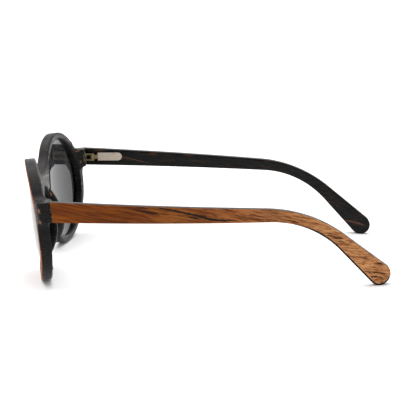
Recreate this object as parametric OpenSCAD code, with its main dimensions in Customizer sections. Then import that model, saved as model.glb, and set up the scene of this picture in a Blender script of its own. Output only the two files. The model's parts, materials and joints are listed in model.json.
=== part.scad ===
// Wooden sunglasses with sprung hinges, standing open on their rims and temple tips.
// Millimetres. X runs across the face (+X is the wearer's left), Y runs back along the temples,
// Z is up, and the origin lies on the ground below the middle of the whole.

/* [Eyes] */
// Width of a lens opening
lens_w = 49; // [42:0.5:56]
// Height of a lens opening
lens_h = 45; // [38:0.5:50]
// Gap between the two lens openings
bridge_gap = 21; // [16:0.5:26]
// Width of the rim around an opening
rim_w = 3.2; // [2.4:0.1:5]

/* [Front] */
// How far an end piece stands out beyond the rim
endpiece_reach = 5.7; // [5:0.1:9]
// Radius that the front is bent to
front_curve_r = 225; // [180:1:320]
// Lean of the front, top forwards
tilt = 6; // [0:0.5:10]
// Thickness of the dark core of the front
core_t = 4.1; // [3.6:0.1:5]
// Thickness of the face veneer
veneer_t = 0.4; // [0.3:0.05:0.7]
// How far the face veneer is eased back from the edges
veneer_ease = 0.1; // [0.05:0.05:0.3]
// Place on the rim where the bridge's top edge joins it
bridge_top_join = 130; // [120:5:140]
// Place on the rim where the bridge's nose arch joins it
bridge_low_join = 180; // [175:5:185]
// Height of an end piece and of the temple's front end
endpiece_h = 8.4; // [7.5:0.1:10]
// Height of the end piece's middle above the lens centre
endpiece_rise = 8.5; // [6:0.1:11]
// Depth of the flat side of an end piece
endpiece_side = 3.3; // [2.5:0.1:5]
// Round on the front corner of an end piece
endpiece_corner_r = 2.5; // [1:0.1:4]
// Place on the rim where the end piece's upper fillet starts
endpiece_top_join = 35; // [30:5:40]
// Place on the rim where the end piece's lower fillet starts
endpiece_low_join = 0; // [-5:5:5]
// Radius of the sweep from the rim's back out to the end piece's rear face
lug_sweep_r = 8; // [6:0.1:10]
// Radius of the fillets behind the rim, above and below the end piece
lug_fillet_r = 3.7; // [3:0.1:4.2]

/* [Lenses] */
// Radius of the domed front of a lens
lens_curve_r = 100; // [85:1:140]
// Thickness of a lens
lens_t = 1.8; // [1.2:0.1:2.2]
// How far a lens stands out in front of the rim at its middle
lens_bulge = 0.65; // [0.4:0.05:1]
// Depth of the groove that holds a lens
groove_depth = 0.8; // [0.5:0.05:1.4]
// Room around a lens in its groove
lens_clearance = 0.05; // [0.02:0.01:0.1]

/* [Nose pads] */
// Place on the rim where a pad starts
pad_start = 170; // [155:1:180]
// Place on the rim where a pad ends
pad_end = 230; // [215:1:240]
// How far a pad stands out behind the rim
pad_depth = 4.4; // [3:0.1:7]
// Thickness of a pad
pad_t = 3.2; // [2.4:0.1:4]
// Splay of a pad away from the nose, from front to back
pad_splay = 13; // [5:1:20]

/* [Temples] */
// Length of the straight run to the corner of the bend, along the top
temple_run = 104; // [90:0.1:120]
// Thickness of the dark core of a temple
temple_core_t = 3.1; // [2.9:0.1:4]
// Thickness of the outer veneer of a temple
temple_veneer_t = 0.7; // [0.4:0.1:1]
// How far the outer veneer is eased back from the edges
temple_ease = 0.1; // [0.05:0.05:0.4]
// Radius of the inward bow of a temple
bow_r = 431; // [350:1:900]
// Distance behind the end piece where a temple runs straight back
bow_start = 8; // [2:0.5:14]
// Fall of the top edge, in degrees
top_fall = 3.2; // [1:0.1:5]
// Fall of the bottom edge, in degrees
bottom_fall = 1.25; // [0:0.05:2.5]
// Fall of the top edge past the bend
hook_top_fall = 38.5; // [30:0.5:45]
// Fall of the bottom edge past the bend
hook_bottom_fall = 47.5; // [42:0.5:55]
// Radius of the bend along the top edge
bend_top_r = 57; // [40:1:70]
// Radius of the bend along the bottom edge
bend_bottom_r = 40; // [30:1:50]
// Radius of the round tip
tip_r = 4.6; // [4:0.1:5.6]
// Gap between a temple's end and the end piece
butt_gap = 0.12; // [0.05:0.01:0.3]

/* [Hinges] */
// Diameter of the hinge pin
pin_d = 1.2; // [1:0.05:1.4]
// Distance of the pin behind the end piece
pin_back = 3.2; // [2.8:0.1:3.6]
// Distance of the pin inside the temple's inner face
pin_inset = 0.6; // [0.4:0.05:0.8]
// Diameter of the ears on the leaf
ear_d = 2.6; // [2.4:0.05:2.8]
// Thickness of an ear
ear_t = 0.7; // [0.6:0.05:0.85]
// Height of the slider's knuckle and bar
knuckle_h = 1.9; // [1.6:0.05:2.1]
// Thickness of the leaf's plate
leaf_t = 0.8; // [0.6:0.05:1]
// Height of the leaf's plate
leaf_h = 3.9; // [3.9:0.05:4.3]
// Reach of the leaf's plate from the pin towards the lens
leaf_reach = 3.3; // [3.1:0.05:3.5]
// Diameter of a pin or screw head
head_d = 1.4; // [1.2:0.05:1.45]
// Thickness of a pin or screw head
head_t = 0.35; // [0.25:0.05:0.45]
// Diameter of a leaf screw's shank
screw_d = 0.8; // [0.6:0.05:1]
// Length of a leaf screw's shank in the wood
screw_grip = 2.8; // [2:0.1:3.5]
// Height of the spring housing
housing_h = 3.8; // [3.7:0.05:4.2]
// Length of the spring housing
housing_len = 11.8; // [11.6:0.1:14]
// Thickness of the spring housing
housing_t = 2.6; // [2.5:0.05:2.8]
// How far the housing stands proud of the temple's inner face
housing_proud = 0.5; // [0.2:0.05:0.8]
// Distance of the housing's mouth behind the pin
housing_mouth = 2.8; // [2.7:0.1:3.4]
// Thickness of the slider's bar
bar_t = 1.4; // [1.2:0.05:1.5]
// Length of the bar inside the housing
bar_grip = 3.4; // [3.2:0.1:4]
// Travel of the slider
travel = 1; // [0.5:0.05:1.2]
// Diameter of the slider's rod
rod_d = 0.7; // [0.6:0.05:0.8]
// Diameter of the wire of the spring
wire_d = 0.2; // [0.15:0.01:0.24]
// Outer diameter of the spring
spring_d = 1.36; // [1.3:0.01:1.4]
// Turns of the spring
spring_turns = 6; // [4:1:7]
// Diameter of the stop pin
stop_d = 0.8; // [0.6:0.05:0.9]
// Diameter of the stop pin's flush head
stop_head_d = 1.9; // [1.6:0.05:1.9]
// Room between parts that turn or slide on each other
running = 0.05; // [0.03:0.01:0.08]
// Room between parts that are fixed to each other
seat = 0.01; // [0.005:0.005:0.02]
// Room around the ears inside the temple's mortise
mortise_room = 0.25; // [0.15:0.05:0.3]

/* [Hidden] */

// Colours
ebony = "#24211f";
rosewood = "#9a5a2a";
smoke = "#6a6c70";
champagne = "#c0b19b";
brass = "#b59a5e";
steel = "#a8a8a8";

// Fineness of the round shapes
$fn = 48;
fine_fn = 360;
bow_fn = 720;
dome_fn = 180;
pad_fn = 24;
eye_steps = 72;
arc_steps = 16;
turn_steps = 10;

// The front, in its own frame: upright, its face at y = 0 in the middle, lens centres at z = 0
eye_x = (lens_w + bridge_gap) / 2;
half_w = eye_x + lens_w / 2 + rim_w + endpiece_reach;
front_t = core_t + veneer_t;
reach = lens_h + rim_w;
rim_step = 360 / eye_steps;
left = 1;
right = -1;

function face_y(x) = front_curve_r - sqrt(front_curve_r * front_curve_r - x * x);
function rim_point(angle, grow) =
    [eye_x + (lens_w / 2 + grow) * cos(angle), (lens_h / 2 + grow) * sin(angle)];
function eye_outline(grow) = [for (i = [0 : eye_steps - 1]) rim_point(i * 360 / eye_steps, grow)];
function unit(v) = v / norm(v);
function rim_normal(angle) =
    unit([cos(angle) / (lens_w / 2 + rim_w), sin(angle) / (lens_h / 2 + rim_w)]);

// Centre, on the middle plane, of the circle that touches both rims at the given place
function bridge_centre(angle) =
    let (p = rim_point(angle, rim_w), n = rim_normal(angle)) [0, p.y - p.x / n.x * n.y];

// Centre of the fillet between the rim and the end piece's top or bottom edge (side +1 or -1)
function fillet_centre(angle, side) =
    let (
        p = rim_point(angle, rim_w),
        n = rim_normal(angle),
        edge = endpiece_rise + side * endpiece_h / 2,
        r = side * (p.y - edge) / (1 - side * n.y)
    ) p + r * n;

function bearing(v) = atan2(v.y, v.x);
function arc(centre, r, from, to) =
    [for (i = [0 : arc_steps]) let (a = from + (to - from) * i / arc_steps) centre + r * [cos(a), sin(a)]];
function rim_run(from, to, grow) =
    [for (a = [from - rim_step : -rim_step : to + rim_step]) rim_point(a, grow)];

// The left half of the face outline, from the bridge's top round to its nose arch
function half_outline(ease) =
    let (
        grow = rim_w - ease,
        bridge_c = bridge_centre(bridge_top_join),
        bridge_v = rim_point(bridge_top_join, grow) - bridge_c,
        upper_c = fillet_centre(endpiece_top_join, 1),
        upper_v = rim_point(endpiece_top_join, grow) - upper_c,
        lower_c = fillet_centre(endpiece_low_join, -1),
        lower_v = rim_point(endpiece_low_join, grow) - lower_c,
        arch_c = bridge_centre(bridge_low_join),
        arch_v = rim_point(bridge_low_join, grow) - arch_c
    ) concat(
        arc(bridge_c, norm(bridge_v), -90, bearing(bridge_v)),
        rim_run(bridge_top_join, endpiece_top_join, grow),
        arc(upper_c, norm(upper_v), bearing(upper_v), -90),
        [[half_w - ease, upper_c.y - norm(upper_v)], [half_w - ease, lower_c.y + norm(lower_v)]],
        arc(lower_c, norm(lower_v), 90, bearing(lower_v)),
        rim_run(endpiece_low_join, bridge_low_join - 360, grow),
        arc(arch_c, norm(arch_v), bearing(arch_v), 90)
    );

// The whole face outline without its lens openings, drawn back from its edges by ease
function front_outline(ease) =
    let (half = half_outline(ease))
    concat(half, [for (i = [len(half) - 2 : -1 : 1]) [-half[i].x, half[i].y]]);

// Corner round and rear face of the end piece
corner_x = half_w - endpiece_corner_r;
corner_y = front_curve_r - sqrt(pow(front_curve_r - endpiece_corner_r, 2) - corner_x * corner_x);
butt_y = corner_y + endpiece_side;

// Lowest and foremost reach of the leaning front
rim_edge = eye_outline(rim_w);
lens_z = max([for (p = rim_edge) -p.y * cos(tilt) - (face_y(p.x) + veneer_t) * sin(tilt)]);
face_edge = eye_outline(rim_w - veneer_ease);
front_reach = min([for (p = face_edge) face_y(p.x) * cos(tilt) - p.y * sin(tilt)]);

// From the front's own frame to the bench, as [y, z]
function bench(y, z) = [y * cos(tilt) - z * sin(tilt), lens_z + y * sin(tilt) + z * cos(tilt)];

// The temple's side outline on the bench
temple_t = temple_core_t + temple_veneer_t;
temple_end_y = butt_y + butt_gap;
end_top = bench(temple_end_y, endpiece_rise + endpiece_h / 2);
end_low = bench(temple_end_y, endpiece_rise - endpiece_h / 2);
top_corner = end_top + temple_run * [1, -tan(top_fall)];
tip_touch_z = tip_r * (1 + cos(hook_top_fall));
hook_len = (top_corner.y - tip_touch_z) / sin(hook_top_fall);
tip_touch = top_corner + hook_len * [cos(hook_top_fall), -sin(hook_top_fall)];
tip_centre = tip_touch - tip_r * [sin(hook_top_fall), cos(hook_top_fall)];
low_touch = tip_centre - tip_r * [sin(hook_bottom_fall), cos(hook_bottom_fall)];
low_rise = low_touch.y - end_low.y + low_touch.x * tan(hook_bottom_fall) - end_low.x * tan(bottom_fall);
low_corner_y = low_rise / (tan(hook_bottom_fall) - tan(bottom_fall));
low_corner = [low_corner_y, end_low.y - (low_corner_y - end_low.x) * tan(bottom_fall)];

// Centre of the bend of radius r where an edge falling by a turns to fall by b at a corner
function bend_centre(corner, a, b, r) =
    corner - r * tan((b - a) / 2) * [cos(a), -sin(a)] - r * [sin(a), cos(a)];

top_bend = bend_centre(top_corner, top_fall, hook_top_fall, bend_top_r);
low_bend = bend_centre(low_corner, bottom_fall, hook_bottom_fall, bend_bottom_r);

function temple_outline(ease) =
    let (
        top_lean = top_fall + tilt,
        low_lean = bottom_fall + tilt,
        top = endpiece_rise + endpiece_h / 2 - ease * (1 / cos(top_lean) + tan(top_lean)),
        low = endpiece_rise - endpiece_h / 2 + ease * (1 / cos(low_lean) - tan(low_lean))
    ) concat(
        [bench(temple_end_y + ease, low), bench(temple_end_y + ease, top)],
        arc(top_bend, bend_top_r - ease, 90 - top_fall, 90 - hook_top_fall),
        arc(tip_centre, tip_r - ease, 90 - hook_top_fall, -90 - hook_bottom_fall),
        arc(low_bend, bend_bottom_r + ease, 90 - hook_bottom_fall, 90 - bottom_fall)
    );

// Middle of the whole along Y, which lies over the origin
mid_y = (front_reach + tip_centre.x + tip_r) / 2;

// The hinge, upright, with its pin on the z axis
butt_mid = bench(butt_y, endpiece_rise);
pin_x = half_w - temple_t - pin_inset;
pin_y = butt_mid.x + pin_back;
hinge_z = butt_mid.y;
ear_inner = knuckle_h / 2 + running;
ear_outer = ear_inner + ear_t;
knuckle_r = ear_d / 2 - running;
wood_face = pin_inset;
housing_face = wood_face - housing_proud;
housing_back = housing_face + housing_t;
rod_x = (housing_face + housing_back) / 2;
bar_in = rod_x - bar_t / 2;
bar_end = housing_mouth + bar_grip;
bar_room = 0.2;
shoulder = bar_end + bar_room;
shoulder_t = 0.8;
chamber_y = shoulder + shoulder_t;
chamber_d = spring_d + 4 * running;
housing_end = housing_mouth + housing_len;
end_wall = 0.8;
chamber_end = housing_end - end_wall;
collar_t = 0.6;
collar_y = chamber_end - travel - collar_t;
stop_inset = 1.3;
stop_y = housing_mouth + stop_inset;
stop_short = 0.2;
stop_len = housing_t - stop_short;
screw_margin = 0.1;
screw_x = -leaf_reach + head_d / 2 + screw_margin;
screw_gap = 2.1;
slot_w = 0.25;
slot_d = 0.2;
mortise_depth = 1.6;
mortise_x = wood_face + mortise_depth;
mortise_h = 2 * max(ear_outer + mortise_room, leaf_h / 2 + running);

// Inner edge of the end piece's flat rear face, out of which the leaf's edge stands
leaf_out = 0.5;
butt_x = pin_x - leaf_reach + leaf_out;

// Centre of the sweep that touches the rim's back and runs into that edge
sweep_drum = front_curve_r - front_t - lug_sweep_r;
sweep_line = [butt_x, butt_y - front_curve_r];
sweep_along = (pow(sweep_drum, 2) - pow(lug_sweep_r, 2) + pow(norm(sweep_line), 2)) / (2 * norm(sweep_line));
sweep_off = sqrt(pow(sweep_drum, 2) - pow(sweep_along, 2));
sweep_dir = unit(sweep_line);
sweep_c = [0, front_curve_r] + sweep_along * sweep_dir + sweep_off * [sweep_dir.y, -sweep_dir.x];

// How far a cut runs past the faces that it opens
over = 1;
beyond = 5;

// Puts the pieces of the left side on the left, or their mirror image on the right
module on_side(side) {
    if (side == left) children();
    else mirror([1, 0, 0]) children();
}

module on_bench() {
    translate([0, -mid_y, 0]) children();
}

module in_front() {
    on_bench() translate([0, 0, lens_z]) rotate([tilt, 0, 0]) children();
}

module at_hinge() {
    on_bench() translate([pin_x, pin_y, hinge_z]) children();
}

// Upright drum that the front is bent round, out to radius r
module drum(r) {
    translate([0, front_curve_r, -reach]) cylinder(r = r, h = 2 * reach, $fn = fine_fn);
}

// An outline drawn across the face, run back through the whole depth of the front
module through_front() {
    translate([0, butt_y + beyond, 0]) rotate([90, 0, 0])
        linear_extrude(height = butt_y + 2 * beyond) children();
}

// Both lens openings, wider by grow
module eye_openings(grow) {
    for (side = [left, right]) on_side(side) through_front() polygon(eye_outline(grow));
}

// The block that brings the end piece out to the temple, swept into the back of the rim
module lug() {
    low = endpiece_rise - endpiece_h / 2 - lug_fillet_r;
    high = endpiece_rise + endpiece_h / 2 + lug_fillet_r;
    from = bearing(sweep_c - [0, front_curve_r]);
    to = bearing([butt_x, butt_y] - sweep_c);
    intersection() {
        through_front() polygon(front_outline(0));
        translate([0, 0, -reach]) linear_extrude(height = 2 * reach)
            polygon(concat(arc(sweep_c, lug_sweep_r, from, to), [[half_w, butt_y], [half_w, 0], [sweep_c.x, 0]]));
        rotate([90, 0, 90]) linear_extrude(height = half_w)
            polygon(concat(
                arc([butt_y, low], lug_fillet_r, 180, 90),
                arc([butt_y, high], lug_fillet_r, -90, -180),
                [[0, high], [0, low]]
            ));
    }
}

// What the rounded front corner of an end piece takes away
module corner_waste() {
    lean = asin(corner_x / (front_curve_r - endpiece_corner_r));
    face = [sin(lean), -cos(lean)];
    side = [1, 0];
    far = 3 * endpiece_corner_r;
    translate([corner_x, corner_y, -reach]) difference() {
        linear_extrude(height = 2 * reach)
            polygon([[0, 0], far * face, far * (face + side), far * side]);
        cylinder(r = endpiece_corner_r, h = 2 * reach, $fn = fine_fn);
    }
}

// The domed plate that a lens is cut from, with room added on both faces
module lens_dome(room) {
    turn = asin(eye_x / front_curve_r);
    sink = front_curve_r + lens_bulge - lens_curve_r;
    translate([0, front_curve_r, 0]) rotate([0, 0, turn]) translate([0, -sink, 0]) difference() {
        sphere(r = lens_curve_r + room, $fn = dome_fn);
        sphere(r = lens_curve_r - lens_t - room, $fn = dome_fn);
    }
}

// A lens-shaped solid out to grow past the opening
module lens_blank(grow, room) {
    intersection() {
        through_front() polygon(eye_outline(grow));
        lens_dome(room);
    }
}

// Where the two leaf screws stand
module at_screws() {
    for (side = [-1, 1]) translate([screw_x, -pin_back, side * screw_gap / 2]) rotate([90, 0, 0]) children();
}

// Seats in the front for the leaf and its screws
module leaf_seat() {
    at_hinge() {
        translate([-leaf_reach - seat, -pin_back - leaf_t - seat, -leaf_h / 2 - seat])
            cube([leaf_reach + ear_d / 2 + 2 * seat, leaf_t + beyond, leaf_h + 2 * seat]);
        at_screws() cylinder(d = screw_d + 2 * seat, h = leaf_t + screw_grip + seat);
    }
}

module front_core() {
    color(ebony) difference() {
        in_front() difference() {
            intersection() {
                drum(front_curve_r - veneer_t);
                union() {
                    difference() {
                        through_front() polygon(front_outline(0));
                        drum(front_curve_r - front_t);
                    }
                    for (side = [left, right]) on_side(side) lug();
                }
            }
            eye_openings(0);
            for (side = [left, right]) on_side(side) {
                lens_blank(groove_depth, lens_clearance);
                corner_waste();
            }
        }
        for (side = [left, right]) on_side(side) leaf_seat();
    }
}

module front_veneer() {
    color(rosewood) in_front() difference() {
        intersection() {
            through_front() polygon(front_outline(veneer_ease));
            difference() {
                drum(front_curve_r);
                drum(front_curve_r - veneer_t);
            }
        }
        eye_openings(veneer_ease);
        for (side = [left, right]) on_side(side) corner_waste();
    }
}

module lens(side) {
    color(smoke) on_side(side) in_front() lens_blank(groove_depth - lens_clearance, 0);
}

// One stop along a nose pad, reaching out of the rim by a share of the pad's depth
module pad_stop(place, share) {
    ball = pad_t / 2;
    rim = rim_point(pad_start + place * (pad_end - pad_start), rim_w / 2);
    out = share * pad_depth;
    translate([rim.x, face_y(rim.x) + front_t - ball, rim.y]) {
        sphere(r = ball, $fn = pad_fn);
        translate([out * tan(pad_splay), out, 0]) sphere(r = ball, $fn = pad_fn);
    }
}

// A round-edged wooden fin, glued along the back of the rim on the nose side
module nose_pad(side) {
    profile = [[0, 0.1], [0.25, 0.75], [0.48, 1], [0.7, 0.87], [0.85, 0.6], [1, 0.15]];
    color(ebony) on_side(side) in_front() intersection() {
        drum(front_curve_r - front_t - seat);
        union() for (i = [1 : len(profile) - 1]) hull() {
            pad_stop(profile[i - 1][0], profile[i - 1][1]);
            pad_stop(profile[i][0], profile[i][1]);
        }
    }
}

module hinge_leaf(side) {
    color(brass) on_side(side) at_hinge() difference() {
        union() {
            translate([-leaf_reach, -pin_back - leaf_t, -leaf_h / 2])
                cube([leaf_reach + ear_d / 2, leaf_t, leaf_h]);
            for (z = [ear_inner, -ear_outer]) translate([0, 0, z]) {
                cylinder(d = ear_d, h = ear_t);
                translate([-ear_d / 2, -pin_back, 0]) cube([ear_d, pin_back, ear_t]);
            }
        }
        translate([0, 0, -ear_outer - seat]) cylinder(d = pin_d + 2 * seat, h = 2 * ear_outer + 2 * seat);
        translate([0, 0, ear_outer - head_t - seat]) cylinder(d = head_d + 2 * seat, h = head_t + over);
        at_screws() translate([0, 0, -seat]) cylinder(d = screw_d + 2 * seat, h = leaf_t + 2 * seat);
        at_screws() translate([0, 0, -seat]) cylinder(d = head_d + 2 * seat, h = head_t + 2 * seat);
    }
}

// A round head at z = 0 upwards on a shank below it, with a slot for a driver
module slotted_screw(shank_d, shank_len) {
    difference() {
        union() {
            cylinder(d = head_d, h = head_t);
            translate([0, 0, -shank_len]) cylinder(d = shank_d, h = shank_len);
        }
        translate([-head_d, -slot_w / 2, head_t - slot_d]) cube([2 * head_d, slot_w, head_t]);
    }
}

module leaf_screws(side) {
    color(steel) on_side(side) at_hinge() at_screws()
        translate([0, 0, head_t]) rotate([180, 0, 0]) slotted_screw(screw_d, leaf_t + screw_grip - head_t);
}

module hinge_pin(side) {
    color(steel) on_side(side) at_hinge() translate([0, 0, ear_outer - head_t])
        slotted_screw(pin_d, 2 * ear_outer - head_t);
}

// Knuckle on the pin, cranked bar in the housing, and rod through the spring
module hinge_slider(side) {
    slot_room = stop_d + 2 * running;
    color(brass) on_side(side) at_hinge() difference() {
        union() {
            translate([0, 0, -knuckle_h / 2]) cylinder(r = knuckle_r, h = knuckle_h);
            translate([-pin_d / 3, 0, -knuckle_h / 2])
                cube([bar_in + bar_t + pin_d / 3, 2 * knuckle_r, knuckle_h]);
            translate([bar_in, 0, -knuckle_h / 2]) cube([bar_t, bar_end, knuckle_h]);
            translate([rod_x, bar_end, 0]) rotate([-90, 0, 0])
                cylinder(d = rod_d, h = collar_y + collar_t - bar_end);
        }
        translate([0, 0, -knuckle_h]) cylinder(d = pin_d + 2 * running, h = 2 * knuckle_h);
        translate([bar_in - bar_t, stop_y - slot_room / 2, -slot_room / 2])
            cube([3 * bar_t, slot_room + travel, slot_room]);
    }
}

module spring_collar(side) {
    color(steel) on_side(side) at_hinge() translate([rod_x, collar_y, 0]) rotate([-90, 0, 0]) difference() {
        cylinder(d = spring_d, h = collar_t);
        translate([0, 0, -collar_t]) cylinder(d = rod_d + 2 * seat, h = 3 * collar_t);
    }
}

// A coil of round wire along +Y, as one closed tube
module hinge_spring(side) {
    sides = 6;
    rings = spring_turns * turn_steps;
    mean_r = (spring_d - wire_d) / 2;
    start = chamber_y + wire_d / 2 + running;
    run = collar_y - running - wire_d / 2 - start;
    points = [for (i = [0 : rings], k = [0 : sides - 1])
        let (
            a = 360 * spring_turns * i / rings,
            b = 360 * k / sides,
            r = mean_r + wire_d / 2 * cos(b)
        ) [r * cos(a), start + run * i / rings + wire_d / 2 * sin(b), r * sin(a)]];
    walls = [for (i = [0 : rings - 1], k = [0 : sides - 1], half = [0, 1])
        let (
            n = (k + 1) % sides,
            a = i * sides + k,
            b = i * sides + n,
            c = a + sides,
            d = b + sides
        ) half == 0 ? [a, c, b] : [b, c, d]];
    near_cap = [for (k = [1 : sides - 2]) [0, k, k + 1]];
    last = rings * sides;
    far_cap = [for (k = [1 : sides - 2]) [last, last + k + 1, last + k]];
    color(steel) on_side(side) at_hinge() translate([rod_x, 0, 0])
        polyhedron(points = points, faces = concat(walls, near_cap, far_cap));
}

// Outer form of the spring housing, grown all round by room
module housing_form(room) {
    round_y = housing_end - housing_h / 2;
    translate([housing_face - room, housing_mouth - room, -housing_h / 2 - room])
        cube([housing_t + 2 * room, round_y - housing_mouth + room, housing_h + 2 * room]);
    translate([housing_face - room, round_y, 0]) rotate([0, 90, 0])
        cylinder(d = housing_h + 2 * room, h = housing_t + 2 * room);
}

module hinge_housing(side) {
    color(champagne) on_side(side) at_hinge() difference() {
        housing_form(0);
        translate([bar_in - running, housing_mouth - over, -knuckle_h / 2 - running])
            cube([bar_t + 2 * running, shoulder - housing_mouth + over, knuckle_h + 2 * running]);
        translate([rod_x, 0, 0]) rotate([-90, 0, 0]) {
            translate([0, 0, shoulder - over]) cylinder(d = rod_d + 2 * running, h = shoulder_t + 2 * over);
            translate([0, 0, chamber_y]) cylinder(d = chamber_d, h = chamber_end - chamber_y);
        }
        translate([housing_face - over, stop_y, 0]) rotate([0, 90, 0]) {
            cylinder(d = stop_d + 2 * seat, h = stop_len + seat + over);
            cylinder(d = stop_head_d + 2 * seat, h = head_t + seat + over);
        }
    }
}

module stop_pin(side) {
    color(champagne) on_side(side) at_hinge() translate([housing_face, stop_y, 0]) rotate([0, 90, 0]) {
        cylinder(d = stop_head_d, h = head_t);
        cylinder(d = stop_d, h = stop_len);
    }
}

// A temple's side outline, between two depths from its bowed outer face
module temple_layer(outer, inner, ease) {
    centre = [half_w - bow_r, butt_mid.x + bow_start];
    height = 2 * end_top.y;
    on_bench() intersection() {
        translate([half_w / 4, 0, 0]) rotate([90, 0, 90]) linear_extrude(height = half_w)
            polygon(temple_outline(ease));
        translate([centre.x, centre.y, -height / 4]) difference() {
            cylinder(r = bow_r - outer, h = height, $fn = bow_fn);
            translate([0, 0, -over]) cylinder(r = bow_r - inner, h = height + 2 * over, $fn = bow_fn);
        }
    }
}

module temple_core(side) {
    color(ebony) on_side(side) difference() {
        temple_layer(temple_veneer_t, temple_t, 0);
        at_hinge() {
            translate([-beyond, -pin_back - beyond, -mortise_h / 2])
                cube([beyond + mortise_x, pin_back + beyond + housing_mouth, mortise_h]);
            housing_form(seat);
        }
    }
}

module temple_veneer(side) {
    color(rosewood) on_side(side) temple_layer(0, temple_veneer_t, temple_ease);
}

front_core();
front_veneer();
lens(left);  // left_lens
lens(right);  // right_lens
nose_pad(left);  // left_nose_pad
nose_pad(right);  // right_nose_pad
hinge_leaf(left);  // left_hinge_leaf
hinge_leaf(right);  // right_hinge_leaf
leaf_screws(left);  // left_leaf_screws
leaf_screws(right);  // right_leaf_screws
hinge_pin(left);  // left_hinge_pin
hinge_pin(right);  // right_hinge_pin
hinge_slider(left);  // left_hinge_slider
hinge_slider(right);  // right_hinge_slider
hinge_spring(left);  // left_hinge_spring
hinge_spring(right);  // right_hinge_spring
spring_collar(left);  // left_spring_collar
spring_collar(right);  // right_spring_collar
hinge_housing(left);  // left_hinge_housing
hinge_housing(right);  // right_hinge_housing
stop_pin(left);  // left_stop_pin
stop_pin(right);  // right_stop_pin
temple_core(left);  // left_temple_core
temple_core(right);  // right_temple_core
temple_veneer(left);  // left_temple_veneer
temple_veneer(right);  // right_temple_veneer
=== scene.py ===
"""Looks of a pair of wooden sunglasses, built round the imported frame.

Sizes are in millimetres and degrees until a mesh is made, which is in metres. Each wooden layer is
drawn flat, as outlines with a depth behind its outer face, given rounded edges, and then bent round
a drum.
"""

from __future__ import annotations

import json
import logging
import math
from dataclasses import dataclass
from enum import Enum
from typing import Any, Callable, Sequence

import bmesh
import bpy
import numpy as np
from mathutils import Matrix, Vector
from mathutils.geometry import delaunay_2d_cdt

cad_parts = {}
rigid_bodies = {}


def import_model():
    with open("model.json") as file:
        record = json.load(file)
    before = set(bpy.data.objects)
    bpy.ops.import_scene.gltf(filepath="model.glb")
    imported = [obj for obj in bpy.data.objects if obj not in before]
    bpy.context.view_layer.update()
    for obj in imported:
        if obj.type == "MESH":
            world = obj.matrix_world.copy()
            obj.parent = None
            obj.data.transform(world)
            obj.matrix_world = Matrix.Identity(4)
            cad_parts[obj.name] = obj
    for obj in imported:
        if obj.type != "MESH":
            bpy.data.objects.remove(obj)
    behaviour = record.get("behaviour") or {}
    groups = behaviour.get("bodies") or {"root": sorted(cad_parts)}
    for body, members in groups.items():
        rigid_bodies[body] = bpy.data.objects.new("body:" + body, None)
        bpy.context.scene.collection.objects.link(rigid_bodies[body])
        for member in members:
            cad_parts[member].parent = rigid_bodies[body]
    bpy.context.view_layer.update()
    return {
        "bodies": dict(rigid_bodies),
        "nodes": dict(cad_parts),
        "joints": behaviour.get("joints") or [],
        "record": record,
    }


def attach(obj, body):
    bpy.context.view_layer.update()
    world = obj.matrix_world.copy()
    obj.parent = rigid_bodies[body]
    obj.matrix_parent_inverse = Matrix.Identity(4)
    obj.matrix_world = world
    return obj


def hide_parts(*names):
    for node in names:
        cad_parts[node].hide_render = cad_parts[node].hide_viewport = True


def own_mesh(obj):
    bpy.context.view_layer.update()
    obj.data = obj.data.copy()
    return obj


LOG = logging.getLogger("sunglasses")
FLOAT, VECTOR = "NodeSocketFloat", "NodeSocketVector"
MM = 0.001
Field = Callable[[np.ndarray], np.ndarray]

# A Mix node's two colour inputs and its colour output
MIX_A, MIX_B, MIXED = 6, 7, 2


class Side(Enum):
    """The wearer's left or right, with the sign of its X."""

    LEFT = 1
    RIGHT = -1

    @property
    def prefix(self) -> str:
        """The side's word in node, body and joint names."""
        return self.name.lower()


def linear(colour: str) -> tuple[float, float, float, float]:
    """Turns an sRGB hex colour into linear RGBA.

    Args:
        colour: six hex digits after a hash sign.

    Returns:
        Linear red, green and blue, and an alpha of 1.
    """
    parts = [int(colour[i : i + 2], 16) / 255 for i in (1, 3, 5)]
    red, green, blue = [p / 12.92 if p <= 0.04045 else ((p + 0.055) / 1.055) ** 2.4 for p in parts]
    return red, green, blue, 1.0


def plug(tree: Any, node: Any, sockets: dict) -> None:
    """Sets or links a node's inputs.

    Args:
        tree: the node tree.
        node: the node.
        sockets: values, or sockets to link from, by input name or number.
    """
    for key, value in sockets.items():
        if isinstance(value, bpy.types.NodeSocket):
            tree.links.new(value, node.inputs[key])
        else:
            node.inputs[key].default_value = value


def add(tree: Any, kind: str, settings: dict | None = None, sockets: dict | None = None) -> Any:
    """Adds a node with its settings and links.

    Args:
        tree: the node tree.
        kind: the node's type name.
        settings: attributes by name; "stops" gives a colour ramp's (place, hex colour) pairs.
        sockets: values, or sockets to link from, by input name or number.

    Returns:
        The new node.
    """
    node = tree.nodes.new(kind)
    for name, value in (settings or {}).items():
        if name != "stops":
            setattr(node, name, value)
            continue
        elements = node.color_ramp.elements
        while len(elements) < len(value):
            elements.new(1.0)
        for element, (place, colour) in zip(elements, value):
            element.position = place
            element.color = linear(colour)
    plug(tree, node, sockets or {})
    return node


def settled(piece: bpy.types.Object) -> bpy.types.Object:
    """Turns a piece's modifiers into a plain mesh.

    Args:
        piece: an object in the scene.

    Returns:
        The same object, with no modifiers left.
    """
    depsgraph = bpy.context.evaluated_depsgraph_get()
    mesh = bpy.data.meshes.new_from_object(piece.evaluated_get(depsgraph), depsgraph=depsgraph)
    piece.modifiers.clear()
    mesh.name = piece.name
    piece.data = mesh
    return piece


def placed(name: str, mesh: bpy.types.Mesh) -> bpy.types.Object:
    """Puts a mesh in the scene.

    Args:
        name: the new object's name.
        mesh: its mesh.

    Returns:
        The object.
    """
    piece = bpy.data.objects.new(name, mesh)
    bpy.context.scene.collection.objects.link(piece)
    return piece


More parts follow.
